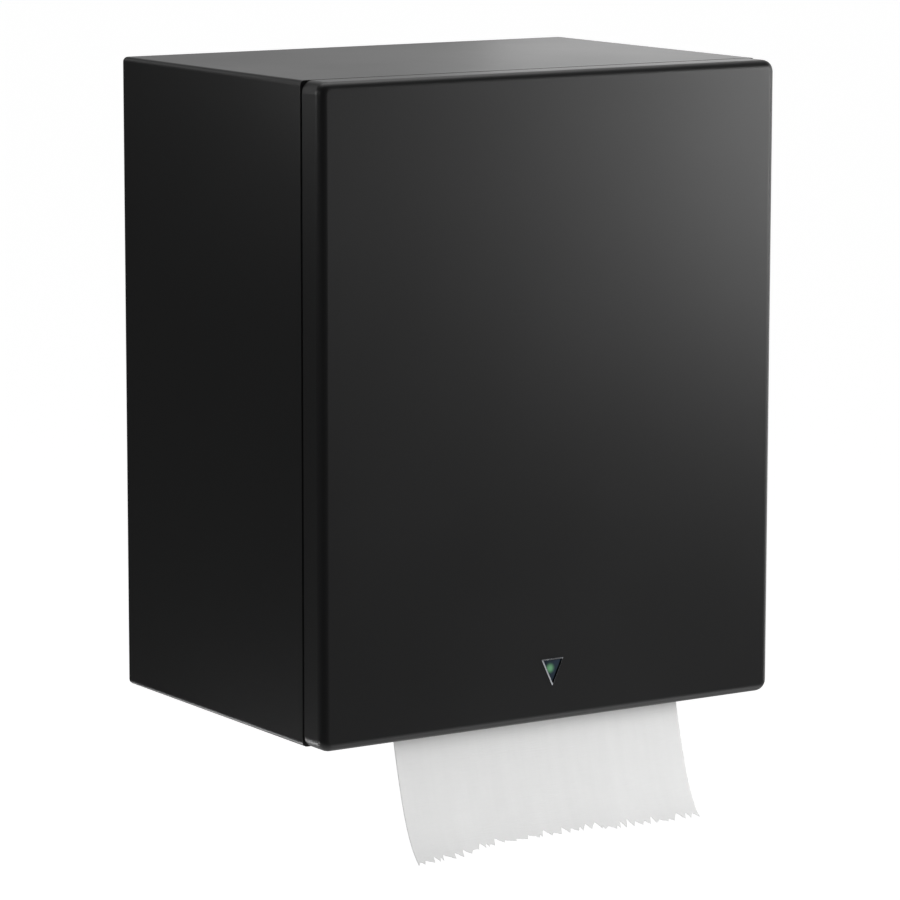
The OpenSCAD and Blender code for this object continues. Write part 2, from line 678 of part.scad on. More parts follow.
module frame_screws() color("#b4b7ba")
  for (x = [-1, 1] * (plate_out + plate_foot_w / 2), y = [chute_back + 10, plate_back - 8]) {
    translate([x, y, -in_h]) cylinder(h = 2, r = 2);
    translate([x, y, -in_h + 1.5]) rotate_extrude() polygon([[0, 0], [4, 0], [4, 0.8], [2.6, 2.4], [0, 2.4]]);
  }

// flanged bearing bushes: the flange inside the plate, the sleeve through it
module drive_bush() {
  turned_x(plate_x - 2, drive_y, drive_z, [[shaft_r + run_fit, 0], [shaft_r + 5, 0], [shaft_r + 5, 2],
    [shaft_r + 3, 2], [shaft_r + 3, plate_t + 2.5], [shaft_r + run_fit, plate_t + 2.5]]);
}

module drive_bushes() color("#b58a4a") {
  drive_bush();
  mirror([1, 0, 0]) drive_bush();
}

shaft_l = plate_out + gear_x + gear_w + 6;
module drive_shaft() color("#b4b7ba") turned_x(-plate_out - 4, drive_y, drive_z, [[0, 0], [shaft_r - 0.6, 0],
  [shaft_r, 0.6], [shaft_r, shaft_l - 0.6], [shaft_r - 0.6, shaft_l], [0, shaft_l]]);

// rubber sleeves with chamfered ends and a shallow groove
module sleeve_row(y, z, r, bore) for (k = [0 : 3]) {
  x0 = -2 * sleeve_step + 4.5 + k * sleeve_step;
  mid = sleeve_l / 2;
  turned_x(x0, y, z, [[bore, 0], [r - 1, 0], [r, 1], [r, mid - 1.2], [r - 0.8, mid - 0.8],
    [r - 0.8, mid + 0.8], [r, mid + 1.2], [r, sleeve_l - 1], [r - 1, sleeve_l], [bore, sleeve_l]]);
}

module drive_sleeves() color("#2a2a2b") sleeve_row(drive_y, drive_z, drive_r, shaft_r + 0.02);

module drive_gear() color("#dcd9cf") {
  gear(gear_x, drive_y, drive_z, drive_teeth, idler_aim, shaft_r + 0.02);
  turned_x(gear_x - 1.6, drive_y, drive_z, [[shaft_r + 0.02, 0], [8, 0], [8, 1.6], [shaft_r + 0.02, 1.6]]);
}

module pivot_rod() color("#b4b7ba") {
  bar_x(-plate_out - 3, plate_out + 2, pivot_y, pivot_z, pivot_r);
  for (x = [-plate_out - 1.4, plate_out + 0.2]) {
    bar_x(x, x + 1.2, pivot_y, pivot_z, pivot_r + 1.6);
  }
}

// sprung frame of the pinch roller: two end arms, a cross plate and a thumb tab
frame_x = plate_x - 1;
frame_end = frame_len - pinch_r - 2;
module pinch_frame() color("#43474c") difference() {
  union() {
    for (x = [-frame_x, frame_x - 4]) along_x(x, x + 4) {
      translate([pivot_y, pivot_z]) circle(6.5);
      translate([pinch_y, pinch_z]) circle(6.5);
      polygon([on_frame(0, -6.5), on_frame(frame_len, -6.5), on_frame(frame_len, 6.5), on_frame(0, 6.5)]);
    }
    along_x(-frame_x + 1, frame_x - 1) polygon([on_frame(7, 1.4), on_frame(frame_end, 1.4),
      on_frame(frame_end, 3.4), on_frame(7, 3.4)]);
    along_x(-14, 14) polygon([on_frame(7, 3.2), on_frame(15, 3.2), on_frame(11, 13), on_frame(7, 13)]);
  }
  bar_x(-half_w, half_w, pivot_y, pivot_z, pivot_r + run_fit);
  bar_x(-half_w, half_w, pinch_y, pinch_z, pinch_shaft_r + run_fit);
}

// torsion springs on the pivot rod, one leg on the frame's cross plate, one leg to the rear
module pinch_springs() color("#b9bcbf") {
  end_aim = 1440 + atan2(-frame_dir[0], frame_dir[1]);
  for (x = [-frame_x + 9, frame_x - 16]) {
    translate([0, pivot_y, pivot_z]) coil(90, end_aim, x, x + 7, 4.2, 4.2, 0.45, 14, 15);
  }
}

module pinch_shaft() color("#b4b7ba") bar_x(-frame_x - 0.4, frame_x + 0.4, pinch_y, pinch_z, pinch_shaft_r);

module pinch_sleeves() color("#2a2a2b") sleeve_row(pinch_y, pinch_z, pinch_r, pinch_shaft_r + 0.02);

// guides that shape the exit: rear one with a floor, front one with ends
guide_t = 1.6;
guide_top = 17;
guide_end = exit_s - 3;
module rear_guide() color("#33363a") {
  along_x(-plate_x, plate_x) {
    polygon([below_nip(guide_top, -guide_gap), below_nip(guide_end, -guide_gap),
      below_nip(guide_end, -guide_gap - guide_t), below_nip(guide_top, -guide_gap - guide_t)]);
    polygon([[below_nip(guide_end - 1.7, -guide_gap - 0.4)[0], -in_h], [chute_back + 9, -in_h],
      [chute_back + 9, -in_h + 1.5], [below_nip(guide_end - 1.7, -guide_gap - 0.4)[0], -in_h + 1.5]]);
  }
}

module front_guide() color("#33363a") {
  along_x(-plate_x, plate_x) {
    polygon([below_nip(guide_top, guide_gap), below_nip(exit_s - 2.4, guide_gap),
      below_nip(exit_s - 2.4, guide_gap + guide_t), below_nip(guide_top, guide_gap + guide_t)]);
    polygon([below_nip(guide_top, guide_gap), below_nip(guide_top, guide_gap + guide_t),
      below_nip(guide_top - 4, guide_gap + 4.6), below_nip(guide_top - 4, guide_gap + 3.4)]);
  }
}

// tear bar: a toothed strip on the front guide
tear_n = floor((2 * plate_x - 8) / tear_pitch);
module tear_bar() color("#c3c6c9") {
  tear_w = tear_n * tear_pitch;
  seat = below_nip(exit_s, guide_gap + guide_t + 0.02);
  translate([0, seat[0], seat[1]])
    rotate([90 - nip_tilt, 0, 0]) linear_extrude(1.2) polygon(concat(
      [[tear_w / 2, 16], [-tear_w / 2, 16]],
      [for (k = [0 : tear_n - 1]) each [[-tear_w / 2 + k * tear_pitch, 4.2],
        [-tear_w / 2 + (k + 0.5) * tear_pitch, 0.6]]],
      [[tear_w / 2, 4.2]]));
}

module tie_rods() color("#9a9da0") for (k = [0, 1]) {
  bar_x(-plate_x, plate_x, tie_y[k], tie_z[k], tie_r);
  for (x = [-plate_out - 1.6, plate_out]) {
    bar_x(x, x + 1.6, tie_y[k], tie_z[k], 3.4);
  }
}

// geared motor inside the right plate
module gear_motor() color("#7d8186") {
  difference() {
    union() {
      turned_x(plate_x - motor_l, motor_y, motor_z, [[0, 0], [motor_r - 4, 0], [motor_r - 1.4, 1.6],
        [motor_r - 1.4, motor_l - 22], [motor_r, motor_l - 22], [motor_r, motor_l], [0, motor_l]]);
      bar_x(plate_x - 0.2, plate_out, motor_y, motor_z, motor_shaft_r + 3.6);
      bar_x(plate_x - motor_l - 3, plate_x - motor_l + 0.2, motor_y, motor_z, 5);
      for (m = [-1, 1]) {
        block(plate_x - motor_l - 6, plate_x - motor_l + 0.4, motor_y - 2, motor_y + 2, motor_z + m * 9 - 0.4,
          motor_z + m * 9 + 0.4);
      }
    }
    bar_x(plate_x - 12, plate_out + cut, motor_y, motor_z, motor_shaft_r + run_fit);
  }
}

module motor_screws() color("#b4b7ba") for (m = [-1, 1])
  turned_x(plate_out, motor_y, motor_z + m * 12, [[0, 0], [2.8, 0], [2.8, 1], [1.8, 1.8], [0, 1.8]]);

module motor_pinion() color("#dcd9cf") {
  gear(gear_x, motor_y, motor_z, pinion_teeth, pinion_turn, motor_shaft_r - 0.4);
  bar_x(plate_x - 11, gear_x + gear_w + 1, motor_y, motor_z, motor_shaft_r);
}

module idler_axle() color("#b4b7ba") {
  bar_x(plate_x, gear_x + gear_w + 2.2, idler_y, idler_z, axle_r);
  bar_x(plate_out, gear_x - 0.6, idler_y, idler_z, axle_r + 3);
  bar_x(gear_x + gear_w + 0.6, gear_x + gear_w + 1.8, idler_y, idler_z, axle_r + 2);
}

module idler_gear() color("#dcd9cf")
  gear(gear_x, idler_y, idler_z, idler_teeth, idler_turn, axle_r + run_fit);

// power and control

// upright trough for four cells, two deep and two high, open at the front
module battery_tray() color("#2b2d30") {
  x0 = -in_w;
  x1 = cell_x + cell_r + free_fit + tray_wall;
  y0 = cells_y[0] - 9;
  y1 = cells_y[1] + cell_r + free_fit + tray_wall;
  along_z(tray_bottom, tray_top) difference() {
    translate([x0, y0]) square([x1 - x0, y1 - y0]);
    translate([cell_x, cells_y[1]]) circle(cell_r + free_fit);
    translate([cell_x - cell_r - free_fit, y0 - cut])
      square([2 * (cell_r + free_fit), cells_y[1] - y0 + cut]);
  }
  for (z = [tray_bottom, tray_top - tray_wall]) {
    block(x0, x1, cells_y[0] - cell_r, y1, z, z + tray_wall);
  }
}

// the front pair of cells stands nub up, the rear pair nub down
module battery_cell() rotate_extrude() polygon([[0, 0], [cell_r - 1.2, 0], [cell_r - 0.6, 0.6], [cell_r, 0.6],
  [cell_r, cell_l - 2.6], [cell_r - 1, cell_l - 1.6], [4.75, cell_l - 1.6], [4.75, cell_l - 0.4],
  [4.3, cell_l], [0, cell_l]]);

module battery_cells() color("#2f3338") for (k = [0, 1]) {
  translate([cell_x, cells_y[0], stacks_z[0] + k * (cell_l + cell_gap) + cell_gap]) battery_cell();
  translate([cell_x, cells_y[1], stacks_z[1] + (k + 1) * (cell_l + cell_gap) - cell_gap])
    rotate([180, 0, 0]) battery_cell();
}

module battery_contacts() color("#c7a45a") {
  high = tray_top - tray_wall;
  low = tray_bottom + tray_wall;
  for (k = [0, 1]) {
    block(cell_x - 8, cell_x + 8, cells_y[k] - 8, cells_y[k] + 8, low, low + 0.6);
    block(cell_x - 8, cell_x + 8, cells_y[k] - 8, cells_y[k] + 8, high - 0.6, high);
  }
}

module battery_springs() color("#c9ccce") {
  translate([cell_x, cells_y[0], 0]) rotate([0, -90, 0])
    coil(0, 1260, tray_bottom + tray_wall + 1.2, stacks_z[0] - 0.5, 7.2, 3.6, 0.5, 0, 0);
  translate([cell_x, cells_y[1], 0]) rotate([0, -90, 0])
    coil(0, 1260, stacks_z[1] + stack_l + 0.5, tray_top - tray_wall - 1.2, 3.6, 7.2, 0.5, 0, 0);
}

// control box on the right wall, open towards the wall, with the feed button in front
module control_box() color("#3a3d42") difference() {
  block(box_x, in_w, box_front, box_front + box_d, box_z, box_z + box_h);
  block(box_x + box_wall, in_w + cut, box_front + box_wall, box_front + box_d - box_wall, box_z + box_wall,
    box_z + box_h - box_wall);
  bar_y(button_x, box_front + box_wall + cut, box_front - cut, button_z, button_r + run_fit);
  for (k = [0 : 4]) {
    z0 = box_z + 12 + 6 * k;
    block(box_x - cut, box_x + box_wall + cut, box_front + 24, box_front + 40, z0, z0 + 2);
  }
}

// circuit board with its key switch, a chip and a connector
module control_board() color("#2f6b46") {
  block(box_x + box_wall, in_w, board_y, board_y + board_t, box_z + box_wall, box_z + box_h - box_wall);
  block(button_x - 4, button_x + 4, board_y - 3.4, board_y + 0.1, button_z - 4, button_z + 4);
  block(button_x - 6, button_x + 6, board_y - 2, board_y + 0.1, box_z + 18, box_z + 30);
  block(box_x + box_w * 0.2, box_x + box_w * 0.8, board_y - 7, board_y + 0.1, box_z + 5, box_z + 11);
}

module feed_button() color("#c8c9c6") {
  rear = board_y - 3.4 - button_travel - free_fit;
  bar_y(button_x, rear, box_front - 2.6, button_z, button_r - 2);
  translate([button_x, box_front + 4, button_z]) rotate([90, 0, 0]) rotate_extrude() polygon([[0, 0],
    [button_r + 1.4, 0], [button_r + 1.4, 1.6], [button_r, 1.6], [button_r, 6.2], [button_r - 0.8, 7],
    [0, 7]]);
}

// sensor housing on the front guide, right behind the window
eye_z = lens_tip_z + lens_h * 0.62;
eye_x = -1.4;
eye_half = 17;
eye_front = door_in + 2.2;
function guide_face(z) = nip_y - (nip_z - z) * tan(nip_tilt) - (guide_gap + guide_t) / cos(nip_tilt);
eye_low = eye_z - 13;
eye_back = guide_face(eye_low) - 2.2;
module sensor_housing() color("#26282b") {
  difference() {
    block(-eye_half, eye_half, eye_front, eye_back + 1.6, eye_low, eye_z + 15);
    block(-eye_half + 1.6, eye_half - 1.6, eye_front - cut, eye_back, eye_low + 1.6, eye_z + 13.4);
  }
  for (x = [-14, 11]) along_x(x, x + 3)
    polygon([[eye_back + 0.8, eye_z - 8], [eye_back + 0.8, eye_z + 8],
      [guide_face(eye_z + 8) - 0.05, eye_z + 8], [guide_face(eye_z - 8) - 0.05, eye_z - 8]]);
}

module sensor_board() color("#2f6b46")
  block(-eye_half + 1.6, eye_half - 1.6, eye_back - 1.6, eye_back, eye_z - 11.4, eye_z + 13.4);

module status_led() color("#63c06a") translate([eye_x, eye_back - 1.6, eye_z]) rotate([90, 0, 0])
  rotate_extrude() polygon([[0, 0], [2.9, 0], [2.9, 1], [2.5, 1], [2.5, 3.6], [1.8, 5], [0, 5.6]]);

module ir_pair() color("#3b2f44") for (x = [-9, 9])
  translate([x, eye_back - 1.6, eye_z + 2]) rotate([90, 0, 0]) rotate_extrude()
    polygon([[0, 0], [1.9, 0], [1.9, 0.8], [1.5, 0.8], [1.5, 3], [1, 4], [0, 4.4]]);

rear_casing();
door_panel();
door_lens();
door_lugs();
door_catch();
door_magnet();
hinge_arms();
hinge_pins();
hinge_rivets();
lock_barrel();
lock_nut();
lock_plug();
lock_cam();
left_roll_arm();
right_roll_arm();
arm_screws();
sprung_hub();
hub_spring();
paper_roll();
roll_core();
paper_web();
paper_tail();
drive_plate_left();
drive_plate_right();
frame_screws();
drive_bushes();
drive_shaft();
drive_sleeves();
drive_gear();
pivot_rod();
pinch_frame();
pinch_springs();
pinch_shaft();
pinch_sleeves();
rear_guide();
front_guide();
tear_bar();
tie_rods();
gear_motor();
motor_screws();
motor_pinion();
idler_axle();
idler_gear();
battery_tray();
battery_cells();
battery_contacts();
battery_springs();
control_box();
control_board();
feed_button();
sensor_housing();
sensor_board();
status_led();
ir_pair();
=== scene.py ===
# Looks of the roll paper towel dispenser: finishes, paper, springs, window, light and camera
import json
import math

import bpy
import numpy as np
from mathutils import Matrix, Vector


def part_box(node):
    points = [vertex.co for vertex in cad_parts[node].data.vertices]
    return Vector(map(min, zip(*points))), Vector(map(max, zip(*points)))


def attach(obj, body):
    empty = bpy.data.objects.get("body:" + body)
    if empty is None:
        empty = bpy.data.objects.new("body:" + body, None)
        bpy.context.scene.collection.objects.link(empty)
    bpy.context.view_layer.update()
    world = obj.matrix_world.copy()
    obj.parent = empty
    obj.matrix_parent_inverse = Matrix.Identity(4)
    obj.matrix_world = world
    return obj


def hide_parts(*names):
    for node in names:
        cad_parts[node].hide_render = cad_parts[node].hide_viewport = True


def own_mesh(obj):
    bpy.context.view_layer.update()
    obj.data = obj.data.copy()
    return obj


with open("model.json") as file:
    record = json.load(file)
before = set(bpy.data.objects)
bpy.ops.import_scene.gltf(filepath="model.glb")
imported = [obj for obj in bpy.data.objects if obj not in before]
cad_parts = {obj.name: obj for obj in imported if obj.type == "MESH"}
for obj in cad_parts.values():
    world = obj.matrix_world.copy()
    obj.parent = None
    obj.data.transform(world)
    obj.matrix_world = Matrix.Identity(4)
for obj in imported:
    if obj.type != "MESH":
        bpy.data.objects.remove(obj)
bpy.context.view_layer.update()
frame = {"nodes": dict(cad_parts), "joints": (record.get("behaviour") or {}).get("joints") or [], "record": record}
solids = frame["nodes"]
joints = {joint["name"]: joint for joint in frame["joints"]}
axisAt = {name: joint["pos_m"][1:] for name, joint in joints.items() if joint.get("pos_m")}  # its Y and Z
print("frame loaded with", len(solids), "solids")


def boxOf(node):
    # lowest and highest corner of a CAD solid, to the micrometre
    return [[round(value, 6) for value in corner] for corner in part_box(node)]


# camera: looks right by yaw and down by tilt, in degrees, from a place in metres; lens and sensor are in
# millimetres and reach is how far it sees
viewFrom = {
    "place": (-1.4732, -2.3881, 0.3976), "yaw": 32.958, "tilt": 9.271, "roll": 0.074,
    "lens": 183.16, "sensor": 36, "reach": 60,
}


def addCamera(v):
    # the columns of the turn are the picture's right, its up, and the way back from the object
    yaw, tilt, roll = (math.radians(v[k]) for k in ("yaw", "tilt", "roll"))
    ahead = np.array([math.sin(yaw) * math.cos(tilt), math.cos(yaw) * math.cos(tilt), -math.sin(tilt)])
    right = np.array([math.cos(yaw), -math.sin(yaw), 0.0])
    up = np.cross(right, ahead)
    across = right * math.cos(roll) + up * math.sin(roll)
    above = up * math.cos(roll) - right * math.sin(roll)
    data = bpy.data.cameras.new("camera")
    data.sensor_width = v["sensor"]
    data.lens = v["lens"]
    data.clip_end = v["reach"]
    camera = bpy.data.objects.new("camera", data)
    turn = Matrix(np.column_stack([across, above, -ahead]).tolist()).to_4x4()
    turn.translation = v["place"]
    camera.matrix_world = turn
    bpy.context.scene.collection.objects.link(camera)
    bpy.context.scene.camera = camera


addCamera(viewFrom)


# node helpers: put gives the node, the others a socket to pass on

def put(tree, kind, sockets=None, **settings):
    # adds a node; a socket value that is itself a socket is linked, anything else is set
    made = tree.nodes.new(kind)
    for key, value in settings.items():
        setattr(made, key, value)
    for key, value in (sockets or {}).items():
        if isinstance(value, bpy.types.NodeSocket):
            tree.links.new(value, made.inputs[key])
        else:
            made.inputs[key].default_value = value
    return made


def calc(tree, operation, *values):
    # one step of arithmetic
    return put(tree, "ShaderNodeMath", dict(enumerate(values)), operation=operation).outputs[0]


def vector(tree, operation, *values):
    # a length or a dot product is a number, all else a vector
    made = put(tree, "ShaderNodeVectorMath", dict(enumerate(values)), operation=operation)
    return made.outputs["Value" if operation in ("LENGTH", "DOT_PRODUCT") else "Vector"]


def scaled(tree, value, share):
    # a color or vector times a number
    return put(tree, "ShaderNodeVectorMath", {0: value, "Scale": share}, operation="SCALE").outputs["Vector"]


def ramp(tree, value, source, target, ease="LINEAR"):
    # goes from the first to the second target while the value crosses the source range
    ends = {0: value, 1: source[0], 2: source[1], 3: target[0], 4: target[1]}
    return put(tree, "ShaderNodeMapRange", ends, interpolation_type=ease).outputs[0]


def mixed(tree, share, first, second, kind="FLOAT"):
    # the first value where the share is 0, the second where it is 1
    sockets = {"Factor": share, "A": first, "B": second}
    return put(tree, "ShaderNodeMix", sockets, data_type=kind).outputs["Result"]


def noise(tree, where, scale, detail, rough=0.5, bend=0.0):
    # cloudy values of about 0 to 1; bend distorts their places
    sockets = {"Vector": where, "Scale": scale, "Detail": detail, "Roughness": rough, "Distortion": bend}
    return put(tree, "ShaderNodeTexNoise", sockets).outputs["Fac"]


def placeOn(tree, kind="Object"):
    # the point being shaded, in the object's own metres unless another kind is asked for
    return put(tree, "ShaderNodeTexCoord").outputs[kind]


def lineDistance(tree, where, point, across):
    # length of the way from the point, counting only the axes marked 1 in across
    off = vector(tree, "SUBTRACT", where, point)
    return vector(tree, "LENGTH", vector(tree, "MULTIPLY", off, across))


# studio: white behind the object as the eye sees it, in mirrors dark on the other sides and darkest towards
# a black panel (flag) on the eye's left; edges are the cosines over which a level eases in, the floor's
# height is in metres
studio = {
    "ambient": 0.51, "dark": 0.06,
    "backdrop": (0.85, 0.52, 0.0), "edge": (0.4, 1.13),
    "down": (0.0, 0.0, -1.0), "downEdge": (0.45, 0.85), "downLevel": 0.6,
    "flag": (-0.8, -0.6, 0.0), "flagEdge": (0.1, 0.7), "flagLevel": 0.35,
    "floor": -0.72, "floorHalf": 25, "floorRows": 5, "floorGlow": 0.69, "floorTone": 0.6, "floorBounce": 0.88,
}
# soft lamps: places and sizes in metres, power in watts; mirror False keeps a lamp out of reflections
lamps = {
    "key": {"place": (0.7, -0.75, 0.18), "aim": (0.1, -0.2, 0.08), "size": (0.28, 0.44), "power": 3.75},
    "top": {"place": (0.2, 0.2, 1.5), "aim": (0.0, -0.1, 0.0), "size": (1.4, 1.2), "power": 10.0},
    "left": {"place": (-1.35, -0.36, 0.45), "aim": (-0.16, -0.22, 0.1), "size": (0.22, 0.4), "power": 0.75},
    "low": {"place": (0.42, -0.55, -0.6), "aim": (0.05, -0.2, -0.2), "size": (0.5, 0.3), "power": 0.68},
    "fill": {"place": (-0.9, -1.6, 0.0), "aim": (0.0, -0.2, -0.1), "size": (1.2, 1.0), "power": 5.0,
             "mirror": False},
    "rim": {"place": (0.76, 0.6, 0.36), "aim": (0.1, -0.15, 0.15), "size": (0.44, 0.5), "power": 0.68},
    "right": {"place": (1.05, -0.25, 0.02), "aim": (0.15, -0.2, 0.02), "size": (0.32, 0.9), "power": 2.1},
    "back": {"place": (-0.55, 1.1, 0.75), "aim": (-0.15, -0.1, 0.19), "size": (0.7, 0.5), "power": 0.8},
    "sideHigh": {"place": (-0.48, 0.05, 0.24), "aim": (-0.16, -0.19, 0.17), "size": (0.12, 0.12),
                 "power": 0.28},
    "sideLow": {"place": (-0.36, 0.15, -0.45), "aim": (-0.16, -0.05, -0.19), "size": (0.5, 0.05),
                "power": 0.65},
}


def seenDirectly(tree):
    # the kinds of ray, and 1 for rays from the eye, from mirrors and through glass
    ray = put(tree, "ShaderNodeLightPath").outputs
    first = calc(tree, "MAXIMUM", ray["Is Camera Ray"], ray["Is Glossy Ray"])
    return ray, calc(tree, "MAXIMUM", first, ray["Is Transmission Ray"])


def towards(tree, unit, aim, edge, levels):
    # eases from the first to the second level as the direction's share along the aim crosses the edge
    return ramp(tree, vector(tree, "DOT_PRODUCT", unit, aim), edge, levels, "SMOOTHSTEP")


def mirrorLevel(tree, s, ray, direction):
    # for mirror rays the backdrop times the panel, or the glow from below where that is brighter; otherwise 1
    unit = vector(tree, "NORMALIZE", direction)
    behind = towards(tree, unit, s["backdrop"], s["edge"], (s["dark"], 1.0))
    under = towards(tree, unit, s["down"], s["downEdge"], (0.0, s["downLevel"]))
    panel = towards(tree, unit, s["flag"], s["flagEdge"], (1.0, s["flagLevel"]))
    level = calc(tree, "MAXIMUM", calc(tree, "MULTIPLY", behind, panel), under)
    return mixed(tree, ray["Is Glossy Ray"], 1.0, level)


def lightWorld(s):
    # an even soft light, replaced by the backdrop where it is seen
    world = bpy.data.worlds.new("studio")
    bpy.context.scene.world = world
    world.use_nodes = True
    tree = world.node_tree
    tree.nodes.clear()
    ray, direct = seenDirectly(tree)
    level = mirrorLevel(tree, s, ray, placeOn(tree, "Generated"))
    soft = put(tree, "ShaderNodeBackground", {"Color": (1, 1, 1, 1), "Strength": s["ambient"]})
    white = put(tree, "ShaderNodeBackground", {"Color": (1, 1, 1, 1), "Strength": level})
    both = put(tree, "ShaderNodeMixShader", {0: direct, 1: soft.outputs[0], 2: white.outputs[0]})
    put(tree, "ShaderNodeOutputWorld", {0: both.outputs[0]})


def addLamp(name, s):
    # a rectangle that shines along its own -Z, so the turn's third column points back from the aim
    data = bpy.data.lights.new(name, "AREA")
    data.shape = "RECTANGLE"
    data.size, data.size_y = s["size"]
    data.energy = s["power"]
    holder = bpy.data.objects.new(name, data)
    bpy.context.scene.collection.objects.link(holder)
    back = np.array(s["place"]) - np.array(s["aim"])
    back = back / np.linalg.norm(back)
    side = np.cross((0, 0, 1), back)
    side = side / np.linalg.norm(side)
    turn = Matrix(np.column_stack([side, np.cross(back, side), back]).tolist()).to_4x4()
    turn.translation = s["place"]
    holder.matrix_world = turn
    holder.visible_camera = False
    holder.visible_glossy = s.get("mirror", True)


def meshPiece(name, points, faces, body, finish, uv=None):
    # one smooth mesh at the origin that rides on a body, if it has one; uv is one pair for each point
    mesh = bpy.data.meshes.new(name)
    mesh.from_pydata(np.asarray(points, float).reshape(-1, 3).tolist(), [], [list(f) for f in faces])
    mesh.polygons.foreach_set("use_smooth", [True] * len(mesh.polygons))
    if uv is not None:
        corner = np.empty(len(mesh.loops), int)
        mesh.loops.foreach_get("vertex_index", corner)
        layer = mesh.uv_layers.new(name="UVMap")
        layer.data.foreach_set("uv", np.asarray(uv, np.float32)[corner].ravel())
    mesh.update()
    mesh.materials.append(finish)
    piece = bpy.data.objects.new(name, mesh)
    bpy.context.scene.collection.objects.link(piece)
    if body is not None:
        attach(piece, body)
    return piece


def gridFaces(rows, cols, closeRows=False, closeCols=False):
    # quads between neighbouring points of a grid, wound so that rows x columns points outwards
    r = np.arange(rows if closeRows else rows - 1)
    c = np.arange(cols if closeCols else cols - 1)
    r, c = (a.ravel() for a in np.meshgrid(r, c, indexing="ij"))
    nextR, nextC = (r + 1) % rows, (c + 1) % cols
    return np.column_stack([r * cols + c, nextR * cols + c, nextR * cols + nextC, r * cols + nextC])


def addFloor(s):
    # a wide plane under the object that looks white and still takes its shadow; from below it isn't there
    finish = bpy.data.materials.new("paleFloor")
    finish.use_nodes = True
    tree = finish.node_tree
    tree.nodes.clear()
    ray, direct = seenDirectly(tree)
    level = mirrorLevel(tree, s, ray, placeOn(tree))
    shade = put(tree, "ShaderNodeBsdfDiffuse", {"Color": calc(tree, "MULTIPLY", level, s["floorTone"])})
    bright = calc(tree, "MULTIPLY", level, s["floorGlow"])
    glow = put(tree, "ShaderNodeEmission", {"Color": (1, 1, 1, 1), "Strength": bright})
    lit = put(tree, "ShaderNodeAddShader", {0: shade.outputs[0], 1: glow.outputs[0]})
    plain = put(tree, "ShaderNodeBsdfDiffuse", {"Color": (s["floorBounce"],) * 3 + (1,)})
    both = put(tree, "ShaderNodeMixShader", {0: direct, 1: plain.outputs[0], 2: lit.outputs[0]})
    clear = put(tree, "ShaderNodeBsdfTransparent")
    below = put(tree, "ShaderNodeNewGeometry").outputs["Backfacing"]
    shown = put(tree, "ShaderNodeMixShader", {0: below, 1: both.outputs[0], 2: clear.outputs[0]})
    put(tree, "ShaderNodeOutputMaterial", {0: shown.outputs[0]})
    side = np.linspace(-s["floorHalf"], s["floorHalf"], s["floorRows"])
    x, y = np.meshgrid(side, side, indexing="ij")
    points = np.stack([x, y, np.full_like(x, s["floor"])], -1)
    meshPiece("floor", points, gridFaces(*x.shape), None, finish)


lightWorld(studio)
for name, shape in lamps.items():
    addLamp(name, shape)
addFloor(studio)
print("studio lit")


# effects that several finishes share

def socketKind(value):
    # four numbers are a color, three a vector, one a plain value
    if isinstance(value, tuple):
        return "NodeSocketColor" if len(value) == 4 else "NodeSocketVector"
    return "NodeSocketFloat"


def newGroup(name, inputs, outputs):
    # an empty group with these sockets, and its two ends to link to
    group = bpy.data.node_groups.new(name, "ShaderNodeTree")
    for key, value in inputs.items():
        group.interface.new_socket(key, in_out="INPUT", socket_type=socketKind(value)).default_value = value
    for key in outputs:
        kind = "NodeSocketColor" if key == "Color" else "NodeSocketFloat"
        group.interface.new_socket(key, in_out="OUTPUT", socket_type=kind)
    return group, group.nodes.new("NodeGroupInput").outputs, group.nodes.new("NodeGroupOutput").inputs


def grainGroup():
    # Height is a fine even noise, Drift a slow one spread to 0 to 1 for tone and gloss
    group, source, sink = newGroup("fineGrain", {"Scale": 1500.0, "DriftScale": 14.0}, ["Height", "Drift"])
    where = placeOn(group)
    fine = noise(group, where, source["Scale"], detail=3.0, rough=0.55)
    slow = noise(group, where, source["DriftScale"], detail=4.0, rough=0.6)
    group.links.new(fine, sink["Height"])
    group.links.new(ramp(group, slow, (0.32, 0.68), (0.0, 1.0)), sink["Drift"])
    return group


def linesGroup():
    # noise drawn out along one way: rolled, drawn or turned marks; Stretch is the scale on X, Y and Z
    group, source, sink = newGroup("toolLines", {"Stretch": (20.0, 900.0, 900.0)}, ["Height", "Streak"])
    drawn = vector(group, "MULTIPLY", placeOn(group), source["Stretch"])
    fine = noise(group, drawn, 1.0, detail=4.0, rough=0.65)
    group.links.new(fine, sink["Height"])
    group.links.new(ramp(group, fine, (0.3, 0.7), (0.0, 1.0)), sink["Streak"])
    return group


def toneGroup():
    # Color between a darker and a lighter tone of itself: base times 1 + amount * (drift - 0.5)
    inputs = {"Base": (0.5, 0.5, 0.5, 1.0), "Drift": 0.5, "Amount": 0.1}
    group, source, sink = newGroup("toneDrift", inputs, ["Color"])
    swing = calc(group, "SUBTRACT", source["Drift"], 0.5)
    share = calc(group, "MULTIPLY_ADD", swing, source["Amount"], 1.0)
    group.links.new(scaled(group, source["Base"], share), sink["Color"])
    return group


grain, lines, tone = grainGroup(), linesGroup(), toneGroup()


def useGroup(tree, group, **sockets):
    # places a group in a material with its own values
    return put(tree, "ShaderNodeGroup", sockets, node_tree=group).outputs


def newFinish(name, color, s):
    # roughness, metal and further sockets come from the finish's dictionary
    finish = bpy.data.materials.new(name)
    finish.use_nodes = True
    shader = finish.node_tree.nodes["Principled BSDF"]
    shader.inputs["Base Color"].default_value = (*color, 1)
    shader.inputs["Roughness"].default_value = s["rough"]
    shader.inputs["Metallic"].default_value = s.get("metal", 0.0)
    for key, value in s.get("sockets", {}).items():
        shader.inputs[key].default_value = value
    return finish, finish.node_tree, shader


def toned(tree, base, drift, amount):
    # the base color with its tone drifting
    return useGroup(tree, tone, Base=base, Drift=drift, Amount=amount)["Color"]


